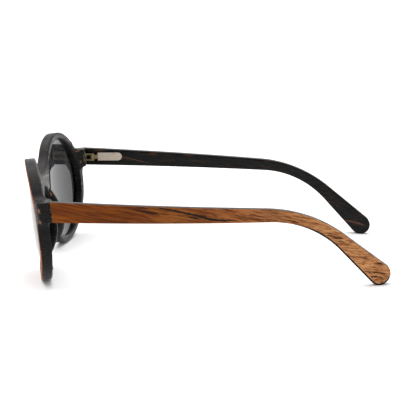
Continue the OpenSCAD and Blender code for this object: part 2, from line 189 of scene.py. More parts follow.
def smoothed(piece: bpy.types.Object, crease: float = 38.0) -> bpy.types.Object:
    """Shades a piece smooth, but for creases sharper than an angle.

    Args:
        piece: a mesh object.
        crease: the angle in degrees.

    Returns:
        The same object.
    """
    piece.data.shade_smooth()
    piece.data.set_sharp_from_angle(angle=math.radians(crease))
    return piece


def mirrored(piece: bpy.types.Object, name: str) -> bpy.types.Object:
    """Copies a left-hand piece to the right-hand side.

    Args:
        piece: the left-hand mesh object.
        name: the copy's name.

    Returns:
        The copy, its faces pointing outwards.
    """
    mesh = piece.data.copy()
    mesh.transform(Matrix.Scale(-1, 4, (1, 0, 0)))
    mesh.flip_normals()
    return placed(name, mesh)


def dressed(piece: bpy.types.Object, material: bpy.types.Material) -> bpy.types.Object:
    """Gives a piece one material.

    Args:
        piece: a mesh object.
        material: its material.

    Returns:
        The same object.
    """
    piece.data.materials.clear()
    piece.data.materials.append(material)
    return piece


def stand_for(piece: bpy.types.Object, body: str, node: str) -> None:
    """Rides a finished piece on a body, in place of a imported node.

    Args:
        piece: the finished piece.
        body: the body's name.
        node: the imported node's name.
    """
    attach(piece, body)
    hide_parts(node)
    LOG.info("%s stands for %s", piece.name, node)


def even(value: float) -> Field:
    """A field with one value at every point."""
    return lambda spots: np.full(len(spots), value)


def smoothstep(low: float, high: float, value: np.ndarray) -> np.ndarray:
    """Rises smoothly from 0 at low to 1 at high."""
    share = np.clip((value - low) / (high - low), 0, 1)
    return share * share * (3 - 2 * share)


def arc(centre: np.ndarray, radius: float, start: float, end: float, pitch: float = 0.5) -> np.ndarray:
    """Points along an arc.

    Args:
        centre: its centre.
        radius: its radius.
        start: bearing of its first point, in degrees.
        end: bearing of its last point, in degrees.
        pitch: the largest step between points.

    Returns:
        An array of points, both ends among them.
    """
    steps = max(4, math.ceil(math.radians(abs(end - start)) * radius / pitch))
    turn = np.radians(np.linspace(start, end, steps + 1))
    return centre + radius * np.stack([np.cos(turn), np.sin(turn)], 1)


def run(start: Sequence[float], end: Sequence[float], pitch: float = 0.6) -> np.ndarray:
    """Points along a straight line.

    Args:
        start: where it starts.
        end: where it ends.
        pitch: the largest step between points.

    Returns:
        The points strictly between its ends.
    """
    first, last = np.array(start, float), np.array(end, float)
    steps = max(1, math.ceil(np.linalg.norm(last - first) / pitch))
    share = np.linspace(0, 1, steps + 1)[1:-1, None]
    return first + (last - first) * share


def bearing(vector: np.ndarray) -> float:
    """The direction of a vector, in degrees."""
    return math.degrees(math.atan2(vector[1], vector[0]))


@dataclass(frozen=True)
class FrameSizes:
    """Sizes that the pieces share, as the solids have them."""

    lens_w: float = 49.0
    lens_h: float = 45.0
    bridge_gap: float = 21.0
    rim_w: float = 3.2
    endpiece_reach: float = 5.7
    front_r: float = 225.0
    tilt: float = 6.0
    core_t: float = 4.1
    veneer_t: float = 0.4
    veneer_ease: float = 0.1
    bridge_top_join: float = 130.0
    bridge_low_join: float = 180.0
    endpiece_h: float = 8.4
    endpiece_rise: float = 8.5
    endpiece_side: float = 3.3
    corner_r: float = 2.5
    endpiece_top_join: float = 35.0
    endpiece_low_join: float = 0.0
    temple_core_t: float = 3.1
    temple_veneer_t: float = 0.7
    pin_back: float = 3.2
    pin_inset: float = 0.6
    leaf_reach: float = 3.3
    leaf_h: float = 3.9
    ear_d: float = 2.6
    lens_z: float = 25.2311
    mid_y: float = 75.452

    @property
    def eye_x(self) -> float:
        """Distance of a lens centre from the middle."""
        return (self.lens_w + self.bridge_gap) / 2

    @property
    def half_w(self) -> float:
        """Half of the width across the end pieces."""
        return self.eye_x + self.lens_w / 2 + self.rim_w + self.endpiece_reach

    @property
    def front_t(self) -> float:
        """Thickness of the front with its veneer."""
        return self.core_t + self.veneer_t

    @property
    def temple_t(self) -> float:
        """Thickness of a temple with its veneer."""
        return self.temple_core_t + self.temple_veneer_t

    @property
    def corner(self) -> np.ndarray:
        """Centre, seen from above, of the round on an end piece's front corner."""
        across = self.half_w - self.corner_r
        return np.array([across, self.front_r - math.sqrt((self.front_r - self.corner_r) ** 2 - across**2)])

    @property
    def butt_y(self) -> float:
        """Depth of an end piece's rear face in the front's own frame."""
        return self.corner[1] + self.endpiece_side

    @property
    def pin(self) -> Vector:
        """The middle of the left hinge pin, in the row frame."""
        across = self.half_w - self.temple_t - self.pin_inset
        mid = self.bench(self.butt_y, self.endpiece_rise)
        return Vector((across, mid[0] + self.pin_back - self.mid_y, mid[1]))

    def face_y(self, across: np.ndarray | float) -> np.ndarray | float:
        """How far the bent face falls back at a distance from the middle."""
        return self.front_r - np.sqrt(self.front_r**2 - np.square(across))

    def rim_point(self, angle: float, grow: float) -> np.ndarray:
        """A point round the left eye.

        Args:
            angle: its place round the lens, in degrees.
            grow: how far outside the lens opening it lies.

        Returns:
            The point, across and up.
        """
        turn = math.radians(angle)
        wide, tall = self.lens_w / 2 + grow, self.lens_h / 2 + grow
        return np.array([self.eye_x + wide * math.cos(turn), tall * math.sin(turn)])

    def rim_normal(self, angle: float) -> np.ndarray:
        """The outward direction on the rim's outer edge.

        Args:
            angle: the place round the lens, in degrees.

        Returns:
            A unit vector, across and up.
        """
        turn = math.radians(angle)
        normal = np.array([
            math.cos(turn) / (self.lens_w / 2 + self.rim_w),
            math.sin(turn) / (self.lens_h / 2 + self.rim_w),
        ])
        return normal / np.linalg.norm(normal)

    def bench(self, depth: float, height: float) -> np.ndarray:
        """Turns a place on the leaning front into one on the bench.

        Args:
            depth: how far back it is in the front's own frame.
            height: how far above the lens centres.

        Returns:
            Its distance back and its height on the bench.
        """
        lean = math.radians(self.tilt)
        return np.array([
            depth * math.cos(lean) - height * math.sin(lean),
            self.lens_z + depth * math.sin(lean) + height * math.cos(lean),
        ])


@dataclass
class Outline:
    """A closed outline across a layer.

    Attributes:
        points: its points, in order.
        inward: at each point, the unit vector that points into the wood.
    """

    points: np.ndarray
    inward: np.ndarray

    @classmethod
    def traced(cls, points: np.ndarray, wood_inside: bool = True) -> Outline:
        """Makes an outline and works out which way the wood lies.

        Args:
            points: the closed outline's points, without a repeated end.
            wood_inside: whether the wood lies inside the outline, or around it.

        Returns:
            The outline.
        """
        ahead = np.roll(points, -1, 0) - points
        behind = points - np.roll(points, 1, 0)
        heading = sum(way / np.linalg.norm(way, axis=1)[:, None] for way in (ahead, behind))
        normal = np.stack([-heading[:, 1], heading[:, 0]], 1)
        normal /= np.linalg.norm(normal, axis=1)[:, None]
        x, z = points.T
        area = np.sum(x * np.roll(z, -1) - np.roll(x, -1) * z)
        return cls(points, normal if (area > 0) == wood_inside else -normal)

    def inset(self, distance: np.ndarray | float) -> np.ndarray:
        """The outline's points drawn into the wood by a distance."""
        return self.points + self.inward * np.reshape(distance, (-1, 1))

    def shrunk(self, distance: np.ndarray | float) -> Outline:
        """The same outline drawn into the wood."""
        return Outline(self.inset(distance), self.inward)


class Shell:
    """A mesh in the making, in flat coordinates: along, depth and height."""

    # Share of a pitch that added points keep from the edge, and the distance at which points merge
    EDGE_ROOM, MERGE = 0.6, 1e-7

    def __init__(self) -> None:
        """Starts with nothing."""
        self.points: list[np.ndarray] = []
        self.faces: list[tuple[int, ...]] = []

    def ring(self, points: np.ndarray) -> np.ndarray:
        """Adds a ring of points.

        Args:
            points: the points, in order.

        Returns:
            Their numbers.
        """
        start = len(self.points)
        self.points.extend(points)
        return np.arange(start, start + len(points))

    def skin(self, first: np.ndarray, second: np.ndarray) -> None:
        """Joins two closed rings of equal count with quads."""
        rows = np.stack([first, np.roll(first, -1), np.roll(second, -1), second], 1)
        self.faces.extend(map(tuple, rows.tolist()))

    def loft(self, rings: Sequence[np.ndarray]) -> None:
        """Skins a row of closed rings and closes its two ends with fans.

        Args:
            rings: arrays of points, all of one length.
        """
        numbers = [self.ring(r) for r in rings]
        for first, second in zip(numbers, numbers[1:]):
            self.skin(first, second)
        for end in (numbers[0], numbers[-1]):
            hub = self.ring(np.mean([self.points[i] for i in end], 0)[None])[0]
            for here, there in zip(end, np.roll(end, -1)):
                self.faces.append((int(here), int(there), int(hub)))

    def fill(
        self, rings: Sequence[np.ndarray], pitch: float, depth: Field,
        fine: Sequence[tuple[np.ndarray, np.ndarray]] = (), fine_pitch: float = 1.0,
    ) -> None:
        """Fills the region between flat rings with near-even triangles.

        Args:
            rings: the numbers of the points round the region and round its holes.
            pitch: distance between the points added inside it.
            depth: gives the depth of the points added.
            fine: low and high corners of places where the points lie closer.
            fine_pitch: distance between the points there.
        """
        edge_ids = np.concatenate(rings)
        edge = np.array([self.points[i] for i in edge_ids])[:, [0, 2]]
        sizes = np.cumsum([0] + [len(r) for r in rings])
        links = [(a + i, a + (i + 1) % (b - a)) for a, b in zip(sizes, sizes[1:]) for i in range(b - a)]
        grid = self.lattice(edge.min(0), edge.max(0), pitch)
        for low, high in fine:
            grid = grid[~np.all((grid > low) & (grid < high), 1)]
        grids = [(grid, pitch)] + [(self.lattice(low, high, fine_pitch), fine_pitch) for low, high in fine]
        kept = []
        for spots, step in grids:
            near = np.array([np.min(np.sum((edge - p) ** 2, 1)) for p in spots])
            kept.append(spots[(near > (self.EDGE_ROOM * step) ** 2) & self.within(spots, edge, links)])
        flat = [Vector(p) for p in np.concatenate([edge, *kept])]
        spots, _, faces, origin, _, _ = delaunay_2d_cdt(flat, links, [], 1, self.MERGE)
        spots = np.array([tuple(s) for s in spots])
        inner = self.ring(np.stack([spots[:, 0], depth(spots), spots[:, 1]], 1))
        numbers = [
            int(edge_ids[min(o)]) if o and min(o) < len(edge_ids) else int(inner[i])
            for i, o in enumerate(origin)
        ]
        middles = np.array([spots[list(f)].mean(0) for f in faces])
        for face, keep in zip(faces, self.within(middles, edge, links)):
            if keep:
                self.faces.append(tuple(numbers[i] for i in face))

    @staticmethod
    def lattice(low: np.ndarray, high: np.ndarray, pitch: float) -> np.ndarray:
        """Points of a triangular lattice over a box.

        Args:
            low: the box's lowest corner.
            high: its highest corner.
            pitch: distance between the points.

        Returns:
            The points.
        """
        rows = []
        for i, height in enumerate(np.arange(low[1], high[1], pitch * math.sqrt(0.75))):
            along = np.arange(low[0] + (i % 2) * pitch / 2, high[0], pitch)
            rows.append(np.stack([along, np.full(len(along), height)], 1))
        return np.concatenate(rows)

    @staticmethod
    def within(spots: np.ndarray, edge: np.ndarray, links: Sequence[tuple[int, int]]) -> np.ndarray:
        """Tells which spots lie in the region that the links enclose.

        Args:
            spots: points to test.
            edge: the points of the closed loops.
            links: pairs of numbers into edge.

        Returns:
            One truth value for each spot.
        """
        ends = np.array(links)
        first, second = edge[ends[:, 0]], edge[ends[:, 1]]
        inside = np.zeros(len(spots), bool)
        for i, (x, z) in enumerate(spots):
            spans = (first[:, 1] > z) != (second[:, 1] > z)
            a, b = first[spans], second[spans]
            crossing = a[:, 0] + (z - a[:, 1]) / (b[:, 1] - a[:, 1]) * (b[:, 0] - a[:, 0])
            inside[i] = np.count_nonzero(crossing > x) % 2
        return inside

    def mesh(self, name: str) -> bpy.types.Mesh:
        """Makes a closed mesh in metres, its faces pointing outwards.

        Args:
            name: the mesh's name.

        Returns:
            The mesh.
        """
        mesh = bpy.data.meshes.new(name)
        mesh.from_pydata([tuple(p * MM) for p in self.points], [], self.faces)
        form = bmesh.new()
        form.from_mesh(mesh)
        bmesh.ops.delete(form, geom=[v for v in form.verts if not v.link_faces], context="VERTS")
        bmesh.ops.recalc_face_normals(form, faces=form.faces)
        form.to_mesh(mesh)
        form.free()
        return mesh


@dataclass
class WoodLayer:
    """A layer of wood with rounded edges, still flat.

    Attributes:
        outlines: its outer outline and those of its holes.
        front: depth of its front face.
        back: depth of its back face at given points.
        front_round: radius of the edge round on the front.
        back_round: radius of the edge round on the back, at given points.
        depths: depths of further rings round the walls, between the two faces.
        trim: moves points at a depth in to the layer's end, where that isn't square.
        pitch: distance between the points across its faces.
        fine: low and high corners of places across the back where the points lie closer.
    """

    outlines: Sequence[Outline]
    front: float
    back: Field
    front_round: float
    back_round: Field
    depths: Sequence[float] = ()
    trim: Callable[[np.ndarray, np.ndarray], np.ndarray] | None = None
    pitch: float = 1.0
    fine: Sequence[tuple[np.ndarray, np.ndarray]] = ()

    # Steps round an edge, and the distance between points where they lie closer
    ROUND_STEPS, FINE_PITCH = 5, 0.33

    def shell(self) -> Shell:
        """Makes the flat layer.

        Returns:
            Its mesh in the making.
        """
        shell = Shell()
        fronts, backs = [], []
        for outline in self.outlines:
            rings = [shell.ring(points) for points in self._wall(outline)]
            for first, second in zip(rings, rings[1:]):
                shell.skin(first, second)
            fronts.append(rings[0])
            backs.append(rings[-1])
        shell.fill(fronts, self.pitch, even(self.front))
        shell.fill(backs, self.pitch, self.back, self.fine, self.FINE_PITCH)
        return shell

    def _wall(self, outline: Outline) -> list[np.ndarray]:
        """Makes the rings of points down one wall.

        Args:
            outline: the wall's outline.

        Returns:
            The rings, from the front face to the back.
        """
        rings = []
        for turn in np.linspace(math.pi / 2, 0, self.ROUND_STEPS + 1) if self.front_round else [0.0]:
            spots = outline.inset(self.front_round * (1 - math.cos(turn)))
            rings.append((spots, np.full(len(spots), self.front + self.front_round * (1 - math.sin(turn)))))
        for depth in self.depths:
            rings.append((outline.points, np.full(len(outline.points), depth)))
        radius = self.back_round(outline.points)
        for turn in np.linspace(0, math.pi / 2, self.ROUND_STEPS + 1):
            spots = outline.inset(radius * (1 - math.cos(turn)))
            rings.append((spots, self.back(spots) - radius * (1 - math.sin(turn))))
        if self.trim:
            rings = [(self.trim(spots, depth), depth) for spots, depth in rings]
        return [np.stack([spots[:, 0], depth, spots[:, 1]], 1) for spots, depth in rings]


class NodeTool:
    """A Geometry Nodes tree with named inputs, run once to make a plain mesh."""

    NAME = "tool"
    INPUTS: tuple[tuple[str, str], ...] = ()

    def __init__(self) -> None:
        """Builds the tree, which ends in real geometry with its material set."""
        self.tree = bpy.data.node_groups.new(self.NAME, "GeometryNodeTree")
        inputs = (("Geometry", "NodeSocketGeometry"), *self.INPUTS, ("Material", "NodeSocketMaterial"))
        self.keys = {
            name: self.tree.interface.new_socket(name, in_out="INPUT", socket_type=kind).identifier
            for name, kind in inputs
        }
        self.tree.interface.new_socket("Geometry", in_out="OUTPUT", socket_type="NodeSocketGeometry")
        given = add(self.tree, "NodeGroupInput").outputs
        whole = add(self.tree, "GeometryNodeRealizeInstances", None, {"Geometry": self.shape(given)})
        coated = add(self.tree, "GeometryNodeSetMaterial", None, {
            "Geometry": whole.outputs[0], "Material": given["Material"]})
        add(self.tree, "NodeGroupOutput", None, {0: coated.outputs[0]})

    def shape(self, given: Any) -> Any:
        """Links the nodes between the inputs and the last two; the bare tool passes its geometry on."""
        return given["Geometry"]

    def seated(self, geometry: Any, turn: Any, offset: Any) -> Any:
        """Adds a turn and a move and returns the geometry's socket."""
        rotation = add(self.tree, "FunctionNodeEulerToRotation", None, {0: turn}).outputs[0]
        return add(self.tree, "GeometryNodeTransform", None, {
            "Geometry": geometry, "Translation": offset, "Rotation": rotation}).outputs[0]

    def make(self, name: str, mesh: bpy.types.Mesh, **sizes: Any) -> bpy.types.Object:
        """Runs the tree on a mesh.

        Args:
            name: the piece's name.
            mesh: what the tree starts from.
            sizes: the tree's inputs by name, with underscores for spaces, in metres and radians.

        Returns:
            The piece, as a plain mesh.
        """
        piece = placed(name, mesh)
        modifier = piece.modifiers.new(self.NAME, "NODES")
        modifier.node_group = self.tree
        for label, value in sizes.items():
            modifier[self.keys[label.replace("_", " ").title()]] = value
        return smoothed(settled(piece))


class BendTool(NodeTool):
    """Bends a flat layer round a drum and sets it in place."""

    NAME = "bend_round_drum"
    INPUTS = (
        ("Drum Radius", FLOAT),
        ("Drum Centre", FLOAT),
        ("Turn", VECTOR),
        ("Offset", VECTOR),
    )

    def shape(self, given: Any) -> Any:
        """Moves each point from along, depth and height to its place on the drum.

        Args:
            given: the tree's inputs.

        Returns:
            The bent layer's socket.
        """
        tree = self.tree
        radius = given["Drum Radius"]
        spot = add(tree, "GeometryNodeInputPosition").outputs[0]
        flat = add(tree, "ShaderNodeSeparateXYZ", None, {0: spot}).outputs
        along = add(tree, "ShaderNodeMath", {"operation": "SUBTRACT"}, {
            0: flat[0], 1: given["Drum Centre"]}).outputs[0]
        reach = add(tree, "ShaderNodeMath", {"operation": "SUBTRACT"}, {0: radius, 1: flat[1]}).outputs[0]
        long, short = [
            add(tree, "ShaderNodeMath", {"operation": "MULTIPLY"}, {0: side, 1: side}).outputs[0]
            for side in (reach, along)
        ]
        rest = add(tree, "ShaderNodeMath", {"operation": "SUBTRACT"}, {0: long, 1: short}).outputs[0]
        height = add(tree, "ShaderNodeMath", {"operation": "SQRT"}, {0: rest}).outputs[0]
        fall = add(tree, "ShaderNodeMath", {"operation": "SUBTRACT"}, {0: radius, 1: height}).outputs[0]
        bent = add(tree, "ShaderNodeCombineXYZ", None, {0: flat[0], 1: fall, 2: flat[2]}).outputs[0]
        moved = add(tree, "GeometryNodeSetPosition", None, {
            "Geometry": given["Geometry"], "Position": bent}).outputs[0]
        return self.seated(moved, given["Turn"], given["Offset"])


class ScrewTool(NodeTool):
    """Sets a slotted screw on each point of a mesh, its head's face on the point."""

    NAME = "set_slotted_screws"
    INPUTS = (
        ("Head Radius", FLOAT),
        ("Head Depth", FLOAT),
        ("Shank Radius", FLOAT),
        ("Shank Length", FLOAT),
        ("Slot Width", FLOAT),
        ("Slot Depth", FLOAT),
        ("Turn", VECTOR),
    )
    # Sides of the round parts; the slot's cutter, centred on the head's face, in head radii and slot depths
    SIDES, CUTTER_LENGTH, CUTTER_DEPTH = 32, 4.0, 2.0

    def shape(self, given: Any) -> Any:
        """Cuts the slot in the head, adds the shank and copies the screw to the points.

        Args:
            given: the tree's inputs.

        Returns:
            The screws' socket.
        """
        tree = self.tree
        head = self._rod(given["Head Radius"], given["Head Depth"], 0.0)
        shank = self._rod(given["Shank Radius"], given["Shank Length"], given["Head Depth"])
        length, depth = [
            add(tree, "ShaderNodeMath", {"operation": "MULTIPLY"}, {0: given[name], 1: times}).outputs[0]
            for name, times in (("Head Radius", self.CUTTER_LENGTH), ("Slot Depth", self.CUTTER_DEPTH))
        ]
        size = add(tree, "ShaderNodeCombineXYZ", None, {
            0: length, 1: given["Slot Width"], 2: depth}).outputs[0]
        slot = add(tree, "GeometryNodeMeshCube", None, {"Size": size}).outputs[0]
        cut = add(tree, "GeometryNodeMeshBoolean", {"operation": "DIFFERENCE"}, {
            "Mesh 1": head, "Mesh 2": slot}).outputs[0]
        screw = add(tree, "GeometryNodeJoinGeometry", None, {0: cut})
        tree.links.new(shank, screw.inputs[0])
        turn = add(tree, "FunctionNodeEulerToRotation", None, {0: given["Turn"]}).outputs[0]
        return add(tree, "GeometryNodeInstanceOnPoints", None, {
            "Points": given["Geometry"], "Instance": screw.outputs[0], "Rotation": turn}).outputs[0]

    def _rod(self, radius: Any, length: Any, start: Any) -> Any:
        """Adds an upright round rod.

        Args:
            radius: its radius.
            length: its length.
            start: how far down its upper end lies.

        Returns:
            The rod's socket.
        """
        tree = self.tree
        rod = add(tree, "GeometryNodeMeshCylinder", None, {
            "Vertices": self.SIDES, "Radius": radius, "Depth": length}).outputs[0]
        half = add(tree, "ShaderNodeMath", {"operation": "MULTIPLY"}, {0: length, 1: -0.5}).outputs[0]
        middle = add(tree, "ShaderNodeMath", {"operation": "SUBTRACT"}, {0: half, 1: start}).outputs[0]
        offset = add(tree, "ShaderNodeCombineXYZ", None, {2: middle}).outputs[0]
        return add(tree, "GeometryNodeTransform", None, {"Geometry": rod, "Translation": offset}).outputs[0]


class CoilTool(NodeTool):
    """Winds a coil of round wire."""

    NAME = "wind_coil"
    INPUTS = (
        ("Turns", FLOAT),
        ("Coil Radius", FLOAT),
        ("Coil Length", FLOAT),
        ("Wire Radius", FLOAT),
        ("Turn", VECTOR),
        ("Offset", VECTOR),
    )
    # Points in a turn, and sides of the wire
    STEPS, WIRE_SIDES = 24, 10

    def shape(self, given: Any) -> Any:
        """Runs the wire's round section along a spiral.

        Args:
            given: the tree's inputs.

        Returns:
            The coil's socket.
        """
        spiral = add(self.tree, "GeometryNodeCurveSpiral", None, {
            "Resolution": self.STEPS, "Rotations": given["Turns"], "Height": given["Coil Length"],
            "Start Radius": given["Coil Radius"], "End Radius": given["Coil Radius"]}).outputs[0]
        wire = add(self.tree, "GeometryNodeCurvePrimitiveCircle", None, {
            "Resolution": self.WIRE_SIDES, "Radius": given["Wire Radius"]}).outputs[0]
        coil = add(self.tree, "GeometryNodeCurveToMesh", None, {
            "Curve": spiral, "Profile Curve": wire, "Fill Caps": True}).outputs[0]
        return self.seated(coil, given["Turn"], given["Offset"])


def carved(piece: bpy.types.Object, boxes: Sequence[tuple[Vector, Vector]]) -> bpy.types.Object:
    """Cuts boxes out of a piece.

    Args:
        piece: a closed mesh object.
        boxes: the lowest and highest corner of each box, in metres.

    Returns:
        The same object, cut.
    """
    cutters = []
    for low, high in boxes:
        form = bmesh.new()
        bmesh.ops.create_cube(form, size=1)
        bmesh.ops.scale(form, vec=high - low, verts=form.verts)
        bmesh.ops.translate(form, vec=(low + high) / 2, verts=form.verts)
        mesh = bpy.data.meshes.new("cutter")
        form.to_mesh(mesh)
        form.free()
        cutters.append(placed("cutter", mesh))
        modifier = piece.modifiers.new("cut", "BOOLEAN")
        modifier.object = cutters[-1]
        modifier.operation = "DIFFERENCE"
        modifier.solver = "EXACT"
    settled(piece)
    for cutter in cutters:
        bpy.data.objects.remove(cutter)
    return smoothed(piece)


def softened(node: bpy.types.Object, name: str, bevel: float) -> bpy.types.Object:
    """Copies a metal node with its sharp edges broken.

    Args:
        node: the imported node's object.
        name: the copy's name.
        bevel: width of the edge break, in millimetres.

    Returns:
        The copy.
    """
    # A distance in metres, then angles in degrees
    merge, flat, corner, crease = 1e-6, 0.5, 40.0, 25.0
    form = bmesh.new()
    form.from_mesh(node.data)
    bmesh.ops.remove_doubles(form, verts=form.verts, dist=merge)
    bmesh.ops.dissolve_limit(form, angle_limit=math.radians(flat), verts=form.verts, edges=form.edges)
    mesh = bpy.data.meshes.new(name)
    form.to_mesh(mesh)
    form.free()
    piece = placed(name, mesh)
    modifier = piece.modifiers.new("edge", "BEVEL")
    modifier.width = bevel * MM
    modifier.segments = 2
    modifier.limit_method = "ANGLE"
    modifier.angle_limit = math.radians(corner)
    return smoothed(settled(piece), crease)


def blank_material(name: str) -> tuple[bpy.types.Material, Any, Any]:
    """Starts a material.

    Args:
        name: its name.

    Returns:
        The material, its node tree and its Principled shader.
    """
    material = bpy.data.materials.new(name)
    material.use_nodes = True
    tree = material.node_tree
    return material, tree, tree.nodes["Principled BSDF"]


@dataclass(frozen=True)
class Mark:
    """A dark or pale mark that the wood shows at one place.

    Attributes:
        start: its first end, in millimetres; an X of None marks the wood right through.
        end: its other end.
        width: its full width.
        depth: how strongly it covers the wood, from 0 to 1.
    """

    start: tuple[float | None, float, float]
    end: tuple[float | None, float, float]
    width: float
    depth: float = 1.0

    # Share of its length that a mark fades over to each side, and a reach right through the wood
    FADE, ENDLESS = 0.8, 1e6

    def amount(self, tree: Any, place: Any) -> Any:
        """Adds the nodes that give the mark's strength.

        Args:
            tree: the material's node tree.
            place: the socket of the place on the piece, in metres.

        Returns:
            A socket that falls from depth on the mark's line to 0 at its rim.
        """
        through = self.start[0] is None
        first, last = (Vector((p[0] or 0.0, p[1], p[2])) for p in (self.start, self.end))
        line = last - first
        turn = line.to_track_quat("Y", "Z").to_euler() if line.length else (0.0, 0.0, 0.0)
        half = self.width / 2
        reach = (self.ENDLESS if through else half, self.FADE * line.length + half, half)
        spot = add(tree, "ShaderNodeMapping", {"vector_type": "TEXTURE"}, {
            "Vector": place, "Location": (first + last) / 2 * MM, "Rotation": turn,
            "Scale": [r * MM for r in reach]}).outputs[0]
        ball = add(tree, "ShaderNodeTexGradient", {"gradient_type": "SPHERICAL"}, {
            "Vector": spot}).outputs[1]
        return add(tree, "ShaderNodeMath", {"operation": "MULTIPLY"}, {0: ball, 1: self.depth}).outputs[0]


def marked(tree: Any, place: Any, marks: Sequence[Mark]) -> Any:
    """Adds the nodes for a set of marks.

    Args:
        tree: the material's node tree.
        place: the socket of the place on the piece, in metres.
        marks: the marks, one or more.

    Returns:
        The socket of the marks' sum at each place.
    """
    total = marks[0].amount(tree, place)
    for mark in marks[1:]:
        amount = mark.amount(tree, place)
        total = add(tree, "ShaderNodeMath", {"operation": "ADD"}, {0: total, 1: amount}).outputs[0]
    return total


def ragged(tree: Any, spot: Any, scale: float, reach: Sequence[float]) -> Any:
    """Shakes a place about, so that marks drawn with it have ragged edges.

    Args:
        tree: the material's node tree.
        spot: the socket of the place on the piece, in metres.
        scale: how many times the shake turns about in a metre.
        reach: how far it moves the place at most in each direction, in millimetres.

    Returns:
        The shaken place's socket.
    """
    noise = add(tree, "ShaderNodeTexNoise", None, {
        "Vector": spot, "Scale": scale, "Detail": 2.0}).outputs[1]
    shaken = add(tree, "ShaderNodeVectorMath", {"operation": "MULTIPLY_ADD"}, {
        0: noise, 1: [2 * r * MM for r in reach], 2: spot}).outputs[0]
    return add(tree, "ShaderNodeVectorMath", {"operation": "SUBTRACT"}, {
        0: shaken, 1: [r * MM for r in reach]}).outputs[0]


def grain_place(tree: Any, turn: Sequence[float]) -> tuple[Any, Any]:
    """Adds the nodes for a place on a piece.

    Args:
        tree: the material's node tree.
        turn: Euler turn, in degrees, that brings the grain's direction to Y.

    Returns:
        The sockets of the place on the piece, in metres, and of the place in its grain, in millimetres.
    """
    spot = add(tree, "ShaderNodeTexCoord").outputs["Object"]
    place = add(tree, "ShaderNodeMapping", None, {
        "Vector": spot, "Scale": (1 / MM,) * 3, "Rotation": [math.radians(a) for a in turn]}).outputs[0]
    return spot, place


def grain(
    tree: Any, place: Any, across_mm: float, along: float, shift: Sequence[float], detail: float,
) -> Any:
    """Adds a noise drawn out along the wood's Y.

    Args:
        tree: the material's node tree.
        place: the socket of the place in the wood, in millimetres, its grain along Y.
        across_mm: width of a line across the grain; it is twice as wide through the wood.
        along: how many times longer than wide a line is.
        shift: moves the pattern, so that two patterns don't fall together.
        detail: octaves of noise.

    Returns:
        The noise's socket, from 0 to 1.
    """
    scaled = add(tree, "ShaderNodeMapping", None, {
        "Vector": place, "Location": shift,
        "Scale": (0.5 / across_mm, 1 / (along * across_mm), 1 / across_mm)}).outputs[0]
    return add(tree, "ShaderNodeTexNoise", None, {
        "Vector": scaled, "Scale": 1.0, "Detail": detail, "Roughness": 0.6, "Distortion": 0.25}).outputs[0]


